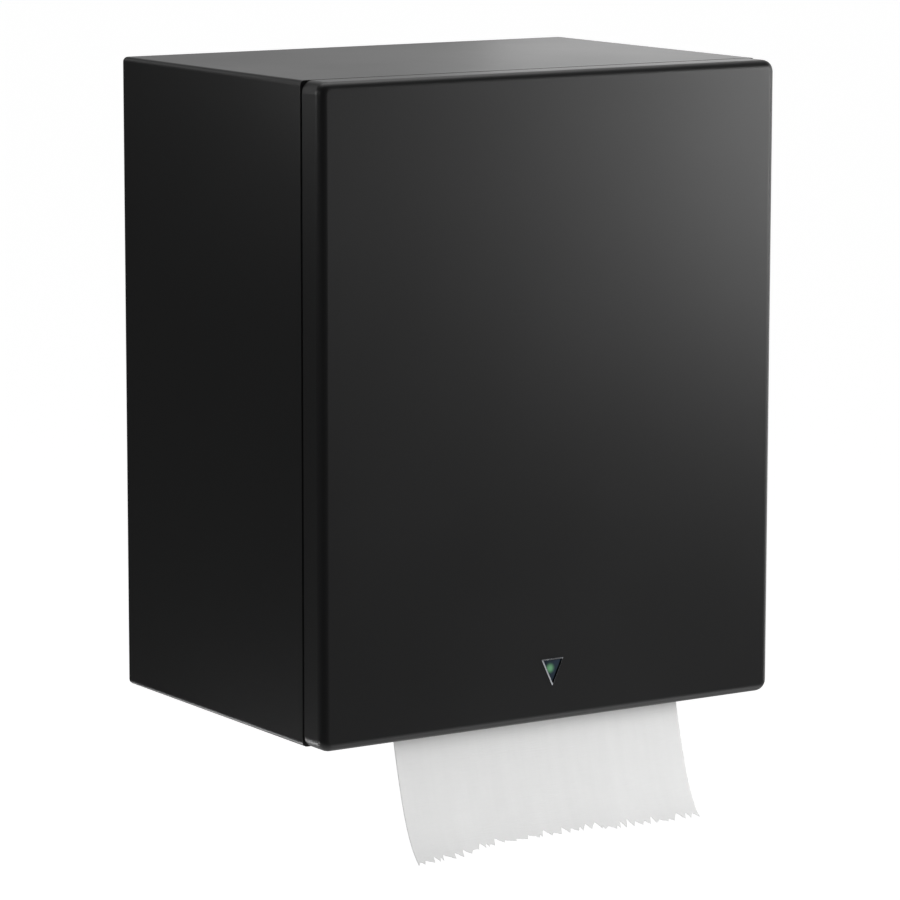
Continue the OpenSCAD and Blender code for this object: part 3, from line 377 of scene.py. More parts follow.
def setTone(tree, shader, base, drift, amount):
    tree.links.new(toned(tree, base, drift, amount), shader.inputs["Base Color"])


def setGloss(tree, shader, drift, low, high):
    # roughness runs from low to high as the drift goes from 0 to 1
    tree.links.new(ramp(tree, drift, (0.0, 1.0), (low, high)), shader.inputs["Roughness"])


def setBump(tree, shader, height, depth):
    # depth is the real height of the relief in metres
    bump = put(tree, "ShaderNodeBump", {"Height": height, "Distance": depth, "Strength": 1.0})
    tree.links.new(bump.outputs["Normal"], shader.inputs["Normal"])


def setGlow(tree, shader, where, s):
    # a spot of light round a line along Y, full in its middle and eased down to its least at its reach
    far = lineDistance(tree, where, (s["x"], 0.0, s["z"]), (1.0, 0.0, 1.0))
    fade = ramp(tree, far, (0.0, s["reach"]), (1.0, s["least"]), s["ease"])
    tree.links.new(scaled(tree, s["glow"], fade), shader.inputs["Emission Color"])


def grainFinish(name, s):
    # a moulded or coated surface: fine grain in relief, slow drift in tone and gloss
    finish, tree, shader = newFinish(name, s["color"], s)
    g = useGroup(tree, grain, Scale=s["scale"], DriftScale=s["driftScale"])
    setTone(tree, shader, (*s["color"], 1), g["Drift"], s["tone"])
    setGloss(tree, shader, g["Drift"], s["rough"] - s["gloss"], s["rough"] + s["gloss"])
    setBump(tree, shader, g["Height"], s["depth"])
    return finish


def lineFinish(name, s):
    # a drawn, rolled or turned metal: streaks along one way in relief and gloss, slow drift in tone
    finish, tree, shader = newFinish(name, s["color"], s)
    drift = useGroup(tree, grain, DriftScale=s["driftScale"])["Drift"]
    marks = useGroup(tree, lines, Stretch=s["stretch"])
    setTone(tree, shader, (*s["color"], 1), drift, s["tone"])
    setGloss(tree, shader, marks["Streak"], s["rough"] - s["gloss"], s["rough"] + s["gloss"])
    setBump(tree, shader, marks["Height"], s["depth"])
    return finish


# plain finishes: color, roughness and its swing (gloss), tone swing, scales of grain and drift per metre, and
# relief depth
grainFinishes = {
    "black_coat": {"color": (0.0044, 0.0044, 0.0046), "rough": 0.405, "gloss": 0.015, "tone": 0.06,
                   "scale": 2200.0, "depth": 0.000012, "driftScale": 7.0},
    "dark_plastic": {"color": (0.046, 0.047, 0.051), "rough": 0.5, "gloss": 0.06, "tone": 0.2,
                     "scale": 1900.0, "depth": 0.00004, "driftScale": 14.0},
    "grey_plastic": {"color": (0.085, 0.09, 0.098), "rough": 0.46, "gloss": 0.06, "tone": 0.16,
                     "scale": 1900.0, "depth": 0.00004, "driftScale": 14.0},
    "gear_plastic": {"color": (0.66, 0.63, 0.55), "rough": 0.38, "gloss": 0.07, "tone": 0.1,
                     "scale": 900.0, "depth": 0.00003, "driftScale": 14.0,
                     "sockets": {"Subsurface Weight": 0.12, "Subsurface Scale": 0.004}},
    "button_plastic": {"color": (0.55, 0.55, 0.52), "rough": 0.3, "gloss": 0.05, "tone": 0.06,
                       "scale": 1400.0, "depth": 0.00002, "driftScale": 14.0},
    "roller_rubber": {"color": (0.022, 0.022, 0.023), "rough": 0.78, "gloss": 0.1, "tone": 0.5,
                      "scale": 1100.0, "depth": 0.00007, "driftScale": 40.0},
    "magnet": {"color": (0.05, 0.05, 0.054), "rough": 0.42, "gloss": 0.12, "tone": 0.3,
               "scale": 700.0, "depth": 0.00006, "driftScale": 14.0, "metal": 0.4},
    # painted shade: near black with weak reflection, partly the border's own black and partly painted shade of the
    # window's recess
    "window_border": {"color": (0.002, 0.002, 0.003), "rough": 0.55, "gloss": 0.05, "tone": 0.2,
                      "scale": 1600.0, "depth": 0.000006, "driftScale": 14.0,
                      "sockets": {"Specular IOR Level": 0.15}},
    "ir_resin": {"color": (0.02, 0.012, 0.03), "rough": 0.14, "gloss": 0.04, "tone": 0.2,
                 "scale": 500.0, "depth": 0.000004, "driftScale": 14.0},
}
# metals: streaks follow the stretch, which is the noise scale on X, Y and Z
lineFinishes = {
    "zinc_steel": {"color": (0.56, 0.57, 0.59), "rough": 0.4, "gloss": 0.12, "tone": 0.25, "metal": 0.7,
                   "stretch": (260.0, 900.0, 260.0), "depth": 0.000018, "driftScale": 55.0},
    "bright_steel": {"color": (0.6, 0.61, 0.62), "rough": 0.3, "gloss": 0.06, "tone": 0.08, "metal": 0.8,
                     "stretch": (2600.0, 60.0, 60.0), "depth": 0.000003, "driftScale": 30.0},
    "lock_chrome": {"color": (0.6, 0.61, 0.63), "rough": 0.13, "gloss": 0.06, "tone": 0.06, "metal": 1.0,
                    "stretch": (1800.0, 90.0, 90.0), "depth": 0.000004, "driftScale": 30.0},
    "bush_brass": {"color": (0.54, 0.38, 0.15), "rough": 0.4, "gloss": 0.12, "tone": 0.35, "metal": 1.0,
                   "stretch": (1500.0, 200.0, 200.0), "depth": 0.00002, "driftScale": 30.0},
    "contact_brass": {"color": (0.6, 0.45, 0.2), "rough": 0.3, "gloss": 0.1, "tone": 0.25, "metal": 1.0,
                      "stretch": (90.0, 1200.0, 300.0), "depth": 0.000012, "driftScale": 30.0},
    "window_trim": {"color": (0.58, 0.6, 0.63), "rough": 0.26, "gloss": 0.04, "tone": 0.08, "metal": 0.9,
                    "stretch": (400.0, 1500.0, 400.0), "depth": 0.000003, "driftScale": 30.0},
    "motor_steel": {"color": (0.4, 0.41, 0.43), "rough": 0.36, "gloss": 0.1, "tone": 0.16, "metal": 0.75,
                    "stretch": (45.0, 1300.0, 1300.0), "depth": 0.000016, "driftScale": 30.0},
}
finishes = {name: grainFinish(name, s) for name, s in grainFinishes.items()}
finishes.update({name: lineFinish(name, s) for name, s in lineFinishes.items()})

# creped towel: ridges across the web, clouds and long bands, as scales per metre across and along the sheet;
# the tone along the ridges is painted shade of their relief
towel = {
    "color": (0.77, 0.77, 0.767), "rough": 0.92, "sockets": {"Sheen Weight": 0.15, "Sheen Roughness": 0.6},
    "ridge": (110.0, 1150.0, 1.0), "ridgeShade": 0.04, "depth": 0.00012,
    "cloud": 75.0, "cloudTone": 0.05, "band": (170.0, 9.0, 1.0), "bandTone": 0.065,
}


def towelFinish(name, s):
    # three drifts of tone, one on the other; the ridges are also the relief, and their tone is painted shade of it
    finish, tree, shader = newFinish(name, s["color"], s)
    where = put(tree, "ShaderNodeUVMap", uv_map="UVMap").outputs[0]
    cloud = noise(tree, where, s["cloud"], detail=5.0, rough=0.7)
    ridge = noise(tree, vector(tree, "MULTIPLY", where, s["ridge"]), 1.0, detail=3.0, rough=0.6, bend=0.5)
    band = noise(tree, vector(tree, "MULTIPLY", where, s["band"]), 1.0, detail=3.0, rough=0.6)
    color = toned(tree, (*s["color"], 1), cloud, s["cloudTone"])
    # painted shade: the ridge noise that makes the bump also darkens and lightens the colour
    color = toned(tree, color, ridge, s["ridgeShade"])
    setTone(tree, shader, color, band, s["bandTone"])
    setBump(tree, shader, ridge, s["depth"])
    return finish


# wound roll: rings of layers on its ends, creping on its outside; sway is how far the rings wander, in
# metres, and an end is what lies beyond endAt from the middle; part of the tone follows the rings and the creping
# as painted shade of that relief, the rest drifts at random
wound = {
    "color": (0.74, 0.74, 0.735), "rough": 0.93, "sockets": {"Sheen Weight": 0.12, "Sheen Roughness": 0.6},
    "at": axisAt["roll_spin"], "layer": 0.00045, "wander": 38.0, "sway": 0.0016, "endAt": 0.0989,
    "crepe": (120.0, 900.0, 900.0), "reliefShadeShare": 0.35, "tone": 0.14, "depth": 0.00022,
}


def woundFinish(name, s):
    # rings: 0.5 + 0.5 * the sine of the radius plus a slow wander, one wave for each layer
    finish, tree, shader = newFinish(name, s["color"], s)
    where = placeOn(tree)
    wander = noise(tree, where, s["wander"], detail=2.0)
    radius = lineDistance(tree, where, (0.0, *s["at"]), (0.0, 1.0, 1.0))
    swayed = calc(tree, "MULTIPLY_ADD", wander, s["sway"], radius)
    wave = calc(tree, "SINE", calc(tree, "MULTIPLY", swayed, math.tau / s["layer"]))
    ring = calc(tree, "MULTIPLY_ADD", wave, 0.5, 0.5)
    crepe = noise(tree, vector(tree, "MULTIPLY", where, s["crepe"]), 1.0, detail=3.0)
    side = calc(tree, "ABSOLUTE", put(tree, "ShaderNodeSeparateXYZ", {0: where}).outputs["X"])
    height = mixed(tree, calc(tree, "GREATER_THAN", side, s["endAt"]), crepe, ring)
    # painted shade: the relief's share of the tone mark darkens along the rings and creping, the wander's share is
    # a random drift
    mark = mixed(tree, s["reliefShadeShare"], wander, height)
    setTone(tree, shader, (*s["color"], 1), mark, s["tone"])
    setBump(tree, shader, height, s["depth"])
    return finish


# cardboard core: a spiral seam of this pitch in metres over a fibrous ground; seam is its share of the pitch
core = {
    "color": (0.36, 0.25, 0.15), "rough": 0.86, "at": axisAt["roll_spin"], "pitch": 0.06, "seam": 0.03,
    "fibre": (420.0, 1600.0, 1600.0), "tone": 0.4, "depth": 0.00008,
}


def coreFinish(name, s):
    # the seam lies where X / pitch + angle / full turn is just past a whole number
    finish, tree, shader = newFinish(name, s["color"], s)
    off = vector(tree, "SUBTRACT", placeOn(tree), (0.0, *s["at"]))
    axis = put(tree, "ShaderNodeSeparateXYZ", {0: off}).outputs
    share = calc(tree, "MULTIPLY", calc(tree, "ARCTAN2", axis["Y"], axis["Z"]), 1 / math.tau)
    step = calc(tree, "FRACT", calc(tree, "MULTIPLY_ADD", axis["X"], 1 / s["pitch"], share))
    seam = ramp(tree, step, (0.0, s["seam"]), (0.0, 1.0))
    mark = calc(tree, "MULTIPLY", useGroup(tree, lines, Stretch=s["fibre"])["Streak"], seam)
    setTone(tree, shader, (*s["color"], 1), mark, s["tone"])
    setBump(tree, shader, mark, s["depth"])
    return finish


# cells: a dark printed film with one pale band, bare steel inside the film's radius at the ends; pitch is the
# length of one cell, and bandAt and bandHalf are shares of it
cells = {
    "film": (0.03, 0.045, 0.075), "band": (0.5, 0.51, 0.52), "steel": (0.55, 0.56, 0.57),
    "rough": 0.26, "gloss": (0.2, 0.34), "tone": 0.12, "scale": 600.0, "driftScale": 60.0, "depth": 0.000008,
    "x": -0.1365, "ys": (-0.183, -0.148), "filmRadius": 0.0166,
    "pitch": 0.0617, "shift": 9.99, "bandAt": 0.78, "bandHalf": 0.06,
}


def cellFinish(name, s):
    # steel nearer to a cell's axis than the film's radius; the band at the same share of every cell's length
    finish, tree, shader = newFinish(name, s["film"], s)
    where = placeOn(tree)
    near = [lineDistance(tree, where, (s["x"], y, 0.0), (1.0, 1.0, 0.0)) for y in s["ys"]]
    bare = calc(tree, "LESS_THAN", calc(tree, "MINIMUM", *near), s["filmRadius"])
    height = put(tree, "ShaderNodeSeparateXYZ", {0: where}).outputs["Z"]
    share = calc(tree, "FRACT", calc(tree, "MULTIPLY_ADD", height, 1 / s["pitch"], s["shift"]))
    band = calc(tree, "COMPARE", share, s["bandAt"], s["bandHalf"])
    film = mixed(tree, band, (*s["film"], 1), (*s["band"], 1), "RGBA")
    skin = mixed(tree, bare, film, (*s["steel"], 1), "RGBA")
    g = useGroup(tree, grain, Scale=s["scale"], DriftScale=s["driftScale"])
    setTone(tree, shader, skin, g["Drift"], s["tone"])
    tree.links.new(bare, shader.inputs["Metallic"])
    setGloss(tree, shader, g["Drift"], *s["gloss"])
    setBump(tree, shader, g["Height"], s["depth"])
    return finish


# circuit boards: green mask over paler tracks; whatever stands in front of a board's face, in Y, is dark
# moulding, and the sensor board has nothing there
boards = {
    "mask": (0.012, 0.085, 0.035), "track": (0.03, 0.17, 0.075), "part": (0.02, 0.02, 0.022),
    "rough": 0.3, "gloss": (0.24, 0.4), "driftScale": 40.0, "scale": 210.0, "trackEdge": (0.07, 0.1),
    "depth": 0.00003, "faces": {"control_board": -0.1833, "sensor_board": -0.3},
}


def boardFinish(name, s, face):
    # tracks run along the borders of a cell pattern
    finish, tree, shader = newFinish(name, s["mask"], s)
    where = placeOn(tree)
    sockets = {"Vector": where, "Scale": s["scale"]}
    pattern = put(tree, "ShaderNodeTexVoronoi", sockets, feature="DISTANCE_TO_EDGE")
    track = ramp(tree, pattern.outputs["Distance"], s["trackEdge"], (1.0, 0.0))
    green = mixed(tree, track, (*s["mask"], 1), (*s["track"], 1), "RGBA")
    depth = put(tree, "ShaderNodeSeparateXYZ", {0: where}).outputs["Y"]
    skin = mixed(tree, calc(tree, "LESS_THAN", depth, face), green, (*s["part"], 1), "RGBA")
    tree.links.new(skin, shader.inputs["Base Color"])
    setGloss(tree, shader, useGroup(tree, grain, DriftScale=s["driftScale"])["Drift"], *s["gloss"])
    setBump(tree, shader, track, s["depth"])
    return finish


# status light: a clear green dome, brightest at its tip
statusLight = {
    "color": (0.16, 0.6, 0.24), "rough": 0.12, "gloss": (0.08, 0.16), "driftScale": 90.0,
    "sockets": {"Emission Strength": 1.0}, "glow": (0.1, 0.75, 0.2), "x": -0.0014, "z": -0.15833,
    "reach": 0.0026, "least": 0.12, "ease": "SMOOTHSTEP",
}


def ledFinish(name, s):
    finish, tree, shader = newFinish(name, s["color"], s)
    setGlow(tree, shader, placeOn(tree), s)
    setGloss(tree, shader, useGroup(tree, grain, DriftScale=s["driftScale"])["Drift"], *s["gloss"])
    return finish


# window glass: dark blue, paler to the right as a painted reflection; the light behind it shows as a soft green
# spot painted on the glass
window = {
    "color": (0.018, 0.028, 0.042), "rough": 0.1, "gloss": (0.07, 0.13), "driftScale": 120.0, "tone": 0.9,
    "sockets": {"Coat Weight": 0.6, "Coat Roughness": 0.05, "Emission Strength": 1.0},
    "glow": (0.11, 0.28, 0.12), "x": -0.0016, "z": -0.1581, "half": 0.0077,
    "reach": 0.0042, "least": 0.0, "ease": "SMOOTHERSTEP",
}


def windowFinish(name, s):
    finish, tree, shader = newFinish(name, s["color"], s)
    where = placeOn(tree)
    setGlow(tree, shader, where, s)
    x = put(tree, "ShaderNodeSeparateXYZ", {0: where}).outputs["X"]
    # painted reflection: the glass's colour grows paler from left to right across its width
    setTone(tree, shader, (*s["color"], 1), ramp(tree, x, (-s["half"], s["half"]), (0.0, 1.0)), s["tone"])
    setGloss(tree, shader, useGroup(tree, grain, DriftScale=s["driftScale"])["Drift"], *s["gloss"])
    return finish


finishes["towel_paper"] = towelFinish("creped towel", towel)
finishes["wound_paper"] = woundFinish("wound towel", wound)
finishes["core_board"] = coreFinish("core board", core)
finishes["cell_sleeve"] = cellFinish("cell film", cells)
finishes["led_green"] = ledFinish("status light", statusLight)
finishes["dark_glass"] = windowFinish("window glass", window)
boardFinishes = {node: boardFinish(node + " mask", boards, face) for node, face in boards["faces"].items()}

for subpart in frame["record"]["subparts"]:
    node, slot = subpart["node"], subpart["material_slot"]
    chosen = boardFinishes.get(node) or finishes[slot]
    solids[node].data.materials.clear()
    solids[node].data.materials.append(chosen)


# roll and drive roller, from the frame
paperHalf = boxOf("paper_roll")[1][0]
rollRadius = axisAt["roll_spin"][1] - boxOf("paper_roll")[0][2]
coreRadius = axisAt["roll_spin"][1] - boxOf("roll_core")[0][2]
driveRadius = axisAt["drive_spin"][1] - boxOf("drive_sleeves")[0][2]

# hanging paper: one creped sheet from the back of the roll to its torn end; in metres and degrees
sheetShape = {
    "half": paperHalf, "thick": 0.0003, "cols": 240, "rows": 72, "rowEase": 1.25,
    # the way: Y, Z and radius of roll and drive roller with how far the sheet lies above them, the angle
    # where it leaves the roll and how far it laps it, the nip between the rollers, the chute's slope and
    # length, and how many points each stretch has
    "roll": (*axisAt["roll_spin"], rollRadius), "drive": (*axisAt["drive_spin"], driveRadius), "lift": 0.0004,
    "leave": -50.185, "lap": 40.0, "nip": (-0.19298, -0.118), "tilt": 13.3, "exit": 0.07398,
    "lapRows": 14, "runRows": 24, "bendRows": 9, "chuteRows": 14,
    # the tail below the chute; drop is how much shorter it is at the right
    "tail": 0.077, "steps": 48, "lean": 4.0, "curl": 32.0, "curlPower": 4, "drop": 0.003,
    # waves across: pitch, slant, start and share
    "ripple": 0.0007, "rippleEase": 1.6,
    "waves": ((61, 0, 0.6, 0.55), (118, 30, 2.1, 0.3), (31, 0, -1.0, 0.4)),
    # broad line of the torn end, as places across and heights, its teeth and its loose fibre ends
    "line": ((-0.1, 0.0), (-0.066, 0.0004), (-0.058, 0.004), (-0.038, 0.0055), (0.028, 0.004),
             (0.036, 0.0018), (0.1, 0.0)),
    "teeth": 36, "toothWide": (0.002, 0.01), "toothLean": (0.05, 0.5), "toothDeep": (0.0014, 0.0056),
    "steep": 1.15, "fibre": 0.000132, "seed": 18,
}


def sheetArc(roller, lift, start, end, rows):
    # Y and Z of a circle round a roller, a little above it
    y, z, radius = roller
    a = np.linspace(start, end, rows)
    return np.column_stack([y + (radius + lift) * np.cos(a), z + (radius + lift) * np.sin(a)])


def paperWay(s):
    # the fixed part of the way in Y and Z with its lengths: an arc on the roll, a straight run, an arc on the
    # drive roller and the straight chute, each sampled evenly
    leave, tilt = math.radians(s["leave"]), math.radians(s["tilt"])
    lap = sheetArc(s["roll"], s["lift"], leave + math.radians(s["lap"]), leave, s["lapRows"])
    bend = sheetArc(s["drive"], s["lift"], leave + math.pi, math.pi - tilt, s["bendRows"])
    f = np.linspace(0, 1, s["runRows"])[1:-1, None]
    run = lap[-1] * (1 - f) + bend[0] * f
    d = np.linspace(0, s["exit"], s["chuteRows"])[1:, None]
    chute = np.array(s["nip"]) - d * np.array([math.sin(tilt), math.cos(tilt)])
    way = np.concatenate([lap, run, bend, chute])
    length = np.concatenate([[0], np.cumsum(np.linalg.norm(np.diff(way, axis=0), axis=1))])
    return way, length


def tailSlope(s, share):
    # tilt + lean * share + curl * share^curlPower, in radians
    return np.radians(s["tilt"] + s["lean"] * share + s["curl"] * share ** s["curlPower"])


def tailPoint(s, d):
    # the place at length d below the chute is the running sum of the slope's direction; also the slope there
    steps = np.linspace(0, 1, s["steps"] + 1)
    middle = (steps[1:] + steps[:-1]) / 2
    aim = tailSlope(s, d[..., None] * middle / s["tail"])
    ahead = d[..., None] / s["steps"] * np.stack([np.sin(aim), np.cos(aim)])
    tilt = math.radians(s["tilt"])
    y, z = np.array(s["nip"]) - s["exit"] * np.array([math.sin(tilt), math.cos(tilt)])
    return y - ahead[0].sum(-1), z - ahead[1].sum(-1), tailSlope(s, d / s["tail"])


def tornTeeth(s, draw):
    # tips lie side by side at seeded widths that fill the sheet; from each tip the tear rises to a root that
    # leans towards it and then slopes back to the next tip
    wide = draw.uniform(*s["toothWide"], s["teeth"])
    tip = np.concatenate([[0], np.cumsum(wide)]) / wide.sum() * 2 * s["half"] - s["half"]
    root = tip[:-1] + np.diff(tip) * draw.uniform(*s["toothLean"], s["teeth"])
    deep = np.minimum(draw.uniform(*s["toothDeep"], s["teeth"]), np.diff(tip) * s["steep"])
    place, height = np.concatenate([tip, root]), np.concatenate([np.zeros(len(tip)), deep])
    order = np.argsort(place)
    return place[order], height[order]


def addPaper(s):
    # a grid of points, columns across and rows along the way; the tail's rows crowd towards the torn end
    way, length = paperWay(s)
    draw = np.random.default_rng(s["seed"])
    place, height = tornTeeth(s, draw)
    x = np.unique(np.concatenate([np.linspace(-s["half"], s["half"], s["cols"]), place]))
    fibres = draw.normal(0, s["fibre"], len(x))
    line = np.array(s["line"])
    torn = np.interp(x, line[:, 0], line[:, 1]) + np.interp(x, place, height)
    cut = s["tail"] - s["drop"] * (x + s["half"]) / (2 * s["half"]) - torn
    share = 1 - (1 - np.linspace(0, 1, s["rows"])[1:]) ** s["rowEase"]
    d = share[:, None] * (cut + fibres)[None, :]
    y, z, aim = tailPoint(s, d)
    # low waves across the width that grow towards the torn end, pushed along the sheet's own normal
    wave = sum(high * np.sin(x * pitch + d * slant + start) for pitch, slant, start, high in s["waves"])
    push = s["ripple"] * (d / s["tail"]) ** s["rippleEase"] * wave
    y, z = y - push * np.cos(aim), z + push * np.sin(aim)
    fixed = np.repeat(np.column_stack([way, length])[:, :, None], len(x), 2)
    y, z = np.concatenate([fixed[:, 0], y]), np.concatenate([fixed[:, 1], z])
    down = np.concatenate([fixed[:, 2], length[-1] + d])
    across = np.broadcast_to(x, y.shape)
    uv = np.stack([across, down], -1).reshape(-1, 2)
    points = np.stack([across, y, z], -1)
    sheet = meshPiece("hangingPaper", points, gridFaces(*y.shape), "cabinet",
                      finishes["towel_paper"], uv=uv)
    body = sheet.modifiers.new("thickness", "SOLIDIFY")
    body.thickness = s["thick"]
    body.offset = 0
    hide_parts("paper_web", "paper_tail")


# full roll: turned about its axis, its ends uneven from layer to layer, its outside a little wavy along the
# axis (swell) and out of round (oval, a share of the radius, over the outermost ovalDeep)
rollShape = {
    "at": axisAt["roll_spin"], "core": coreRadius, "gap": 0.0001, "outer": rollRadius, "half": paperHalf,
    "layers": 72, "flatRows": 34, "roundRows": 6, "sides": 168,
    "soft": 0.0012, "uneven": 0.00032, "seed": 11,
    "swell": 0.00012, "swellPitch": 90, "swellStart": 0.4,
    "oval": 0.0012, "ovalStart": 0.7, "ovalDeep": 0.002,
}


def addRoll(s):
    # rings of a profile in radius and X: out over the left end, along the outside, in over the right end
    draw = np.random.default_rng(s["seed"])
    r = np.linspace(s["core"] + s["gap"], s["outer"] - s["soft"], s["layers"])
    left = -s["half"] + s["uneven"] * draw.random(s["layers"])
    right = s["half"] - s["uneven"] * draw.random(s["layers"])
    a = np.linspace(0, math.pi / 2, s["roundRows"])[1:-1]
    turnR, turnX = s["outer"] - s["soft"] * (1 - np.sin(a)), s["half"] - s["soft"] * (1 - np.cos(a))
    flatX = np.linspace(-s["half"] + s["soft"], s["half"] - s["soft"], s["flatRows"])
    flatR = s["outer"] - s["swell"] * (1 + np.sin(flatX * s["swellPitch"] + s["swellStart"]))
    radius = np.concatenate([r, turnR, flatR, turnR[::-1], r[::-1]])
    place = np.concatenate([left, -turnX, flatX, turnX[::-1], right[::-1]])
    angle = np.linspace(0, math.tau, s["sides"], endpoint=False)
    oval = 1 - s["oval"] * (1 + np.sin(2 * angle + s["ovalStart"]))
    ring = radius[:, None] * np.where((radius > s["outer"] - s["ovalDeep"])[:, None], oval, 1.0)
    y, z = s["at"][0] + ring * np.cos(angle), s["at"][1] + ring * np.sin(angle)
    points = np.stack([np.broadcast_to(place[:, None], ring.shape), y, z], -1)
    faces = gridFaces(*ring.shape, closeRows=True, closeCols=True)[:, ::-1]
    roll = meshPiece("fullRoll", points, faces, "roll", finishes["wound_paper"])
    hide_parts("paper_roll")


# springs: round wire along a helix about X or Z, with legs where the wire runs on; a pinch coil starts
# straight up and stops after four turns and a part, so that its leg runs on from pivot towards roller
wireShape = {"perTurn": 36, "sides": 10, "legRows": 6, "legGap": 0.0004}
toRoller = np.subtract(axisAt["pinch_spin"], axisAt["pinch_swing"])
pinchTurn = 4 * 360 + math.degrees(math.atan2(-toRoller[0], toRoller[1])) - 90
pinchCoil = {
    "node": "pinch_springs", "body": "pinch_frame", "axis": "x", "at": axisAt["pinch_swing"], "start": 90.0,
    "turns": pinchTurn / 360, "radii": (0.0042, 0.0042), "wire": 0.00045, "legs": (0.014, 0.015),
}
trayLow, trayHigh = (corner[2] for corner in boxOf("battery_tray"))
coilFoot, coilHead = 0.0028, 0.0091  # ends of a cell's coil, from the tray's outside
cellCoil = {
    "node": "battery_springs", "body": "cabinet", "axis": "z", "start": 0.0, "turns": 3.5, "wire": 0.0005,
}
springShapes = {
    "hubCoil": {"node": "hub_spring", "body": "cabinet", "axis": "x", "at": axisAt["roll_spin"], "start": 0.0,
                "turns": 5.0, "span": (0.1043, 0.1193), "radii": (0.009, 0.009), "wire": 0.0006,
                "flatter": 0.108, "ends": 0.0014, "seat": 0.12, "travel": joints["hub_slide"]["range_m"][1]},
    "pinchCoilLeft": {**pinchCoil, "span": (-0.097, -0.09)},
    "pinchCoilRight": {**pinchCoil, "span": (0.09, 0.097)},
    "cellCoilLow": {**cellCoil, "at": (cells["x"], cells["ys"][0]), "radii": (0.0072, 0.0036),
                    "span": (trayLow + coilFoot, trayLow + coilHead)},
    "cellCoilHigh": {**cellCoil, "at": (cells["x"], cells["ys"][1]), "radii": (0.0036, 0.0072),
                     "span": (trayHigh - coilHead, trayHigh - coilFoot)},
}


def coilWay(s):
    # helix: the angle grows evenly, the radius runs between its two ends, and a sine makes the ends flatter
    f = np.linspace(0, 1, int(s["turns"] * wireShape["perTurn"]) + 1)
    a = math.radians(s["start"]) + f * s["turns"] * math.tau
    r = s["radii"][0] + (s["radii"][1] - s["radii"][0]) * f
    g = f - s.get("flatter", 0.0) * np.sin(math.tau * f) / math.tau
    along = s["span"][0] + (s["span"][1] - s["span"][0]) * g
    if s["axis"] == "x":
        return np.column_stack([along, s["at"][0] + r * np.cos(a), s["at"][1] + r * np.sin(a)])
    return np.column_stack([s["at"][0] + r * np.sin(a), s["at"][1] + r * np.cos(a), along])


def withLegs(way, first, last):
    # straight legs of these lengths that run on from the coil's first and last step
    head = (way[1] - way[0]) / np.linalg.norm(way[1] - way[0])
    tail = (way[-1] - way[-2]) / np.linalg.norm(way[-1] - way[-2])
    before = way[0] - head * np.linspace(first, wireShape["legGap"], wireShape["legRows"])[:, None]
    after = way[-1] + tail * np.linspace(wireShape["legGap"], last, wireShape["legRows"])[:, None]
    return np.concatenate([before, way, after])


def wireTube(way, wire):
    # a round section carried along the way without twist: each place's normal is the last one made square to
    # the wire, from a start that isn't along it
    sides = wireShape["sides"]
    ahead = np.gradient(way, axis=0)
    ahead = ahead / np.linalg.norm(ahead, axis=1)[:, None]
    n = np.array((0.31, 0.52, 0.79) if abs(ahead[0][2]) < 0.9 else (0.9, 0.3, 0.3))
    normal = np.empty_like(way)
    for k, t in enumerate(ahead):
        n = n - t * (n @ t)
        n = n / np.linalg.norm(n)
        normal[k] = n
    a = np.linspace(0, math.tau, sides, endpoint=False)[None, :, None]
    section = np.cos(a) * normal[:, None] + np.sin(a) * np.cross(ahead, normal)[:, None]
    faces = gridFaces(len(way), sides, closeCols=True).tolist()
    last = (len(way) - 1) * sides
    faces += [list(range(sides)), list(range(last + sides - 1, last - 1, -1))]
    return way[:, None] + wire * section, faces


def addSprings(shapes):
    # the spring with a seat gets a mesh of its own
    for name, s in shapes.items():
        way = coilWay(s)
        if "legs" in s:
            way = withLegs(way, *s["legs"])
        points, faces = wireTube(way, s["wire"])
        spring = meshPiece(name, points, faces, s["body"], finishes["bright_steel"])
        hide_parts(s["node"])
        if "seat" in s:
            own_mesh(spring)


# window: a rounded triangle with a polished rim that rises from the door, a dark inner wall and a sunk pane;
# the inner wall and border are near black with weak reflection, partly their own black and partly painted shade of
# the recess; middle is the height of the pane's centre as a share, inner where the pane has rings on the way to it
windowShape = {
    "wide": 0.0154, "high": 0.0164, "tip": -0.1688, "round": 0.0003, "sides": 12,
    "door": boxOf("door_panel")[0][1], "behind": 0.0016, "proud": 0.0007, "sunk": 0.0009,
    "chamfer": 0.0005, "rim": 0.0001, "wall": 0.0001, "border": 0.0004,
    "middle": 0.64, "inner": (0.4, 0.7, 0.93), "crease": 30,
}


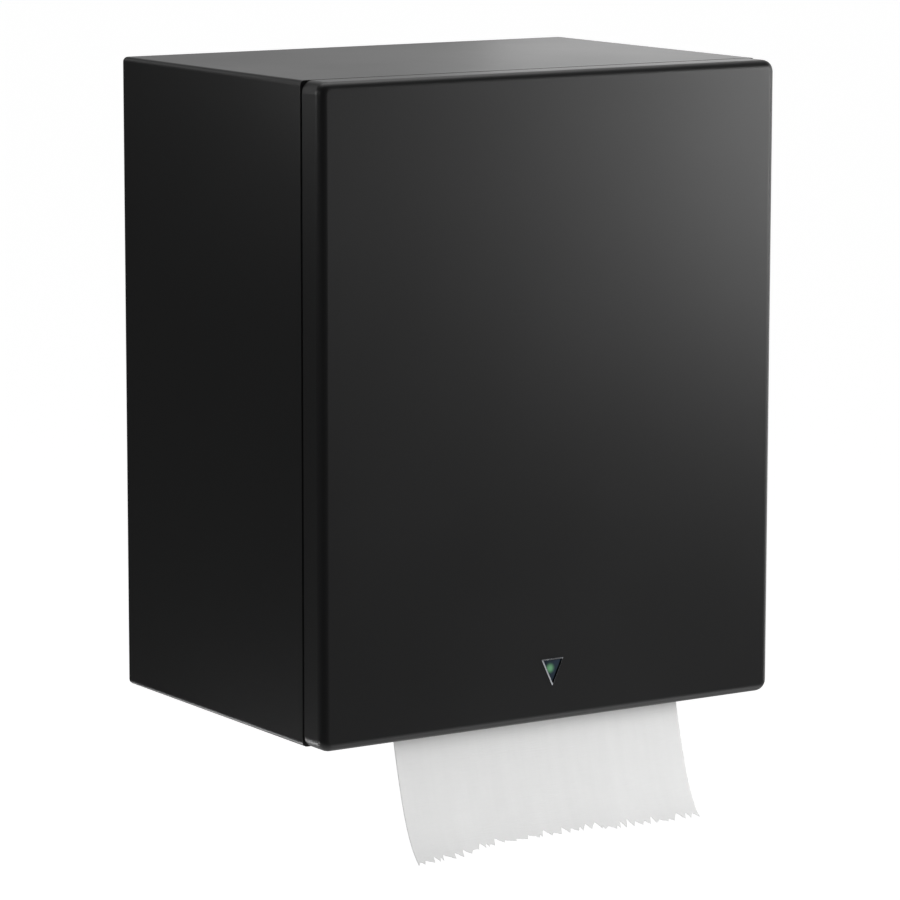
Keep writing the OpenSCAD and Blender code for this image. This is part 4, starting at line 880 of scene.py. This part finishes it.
def triangleRing(s, inset):
    # a triangle with rounded corners, moved inwards by inset; each corner is an arc about its own centre
    half, top, tip = s["wide"] / 2, s["tip"] + s["high"], s["tip"]
    corner = np.array([[-half, top], [0.0, tip], [half, top]])
    edge = np.roll(corner, -1, 0) - corner
    edge = edge / np.linalg.norm(edge, axis=1)[:, None]
    inward = np.column_stack([-edge[:, 1], edge[:, 0]])
    ring = []
    for k in range(3):
        before, after = inward[k - 1], inward[k]
        bisect = (before + after) / (1 + before @ after)
        centre = corner[k] + bisect * (s["round"] + inset)
        a0, a1 = math.atan2(-before[1], -before[0]), math.atan2(-after[1], -after[0])
        a1 = a1 + math.tau if a1 < a0 else a1
        a = np.linspace(a0, a1, s["sides"])
        ring.append(centre + s["round"] * np.column_stack([np.cos(a), np.sin(a)]))
    return np.concatenate(ring)


def addWindow(s):
    # rings from behind the door's skin: out to the door, up the chamfer, over the rim, down the inner wall,
    # over the border and in to the middle of the pane
    inset = np.cumsum([0.0, 0.0, s["chamfer"], s["rim"], s["wall"], s["border"]])
    front = s["door"] - s["proud"]
    depth = (s["door"] + s["behind"], s["door"], front, front, front + s["sunk"], front + s["sunk"])
    rings = [np.insert(triangleRing(s, i), 1, y, axis=1) for i, y in zip(inset, depth)]
    middle = np.array([0.0, depth[-1], s["tip"] + s["high"] * s["middle"]])
    rings += [rings[-1] * (1 - f) + middle * f for f in s["inner"]]
    rings = np.array(rings)
    rows, cols = rings.shape[:2]
    faces = gridFaces(rows, cols, closeCols=True)[:, ::-1].tolist()
    faces += [list(range((rows - 1) * cols, rows * cols)), list(range(cols - 1, -1, -1))]
    pane = meshPiece("windowPane", rings, faces, "door", finishes["dark_glass"])
    pane.data.materials.append(finishes["window_trim"])
    pane.data.materials.append(finishes["window_border"])
    part = np.zeros(len(faces), int)
    part[cols:3 * cols] = 1  # chamfer and rim
    # the inner wall and border take the near black finish that paints the recess's shade
    part[3 * cols:5 * cols] = 2  # inner wall and border
    pane.data.polygons.foreach_set("material_index", part)
    sharp = pane.modifiers.new("edges", "EDGE_SPLIT")
    sharp.split_angle = math.radians(s["crease"])
    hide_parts("door_lens")


addPaper(sheetShape)
addRoll(rollShape)
addSprings(springShapes)
addWindow(windowShape)
print("paper, roll, springs and window made")

bpy.context.scene.view_settings.view_transform = "Standard"
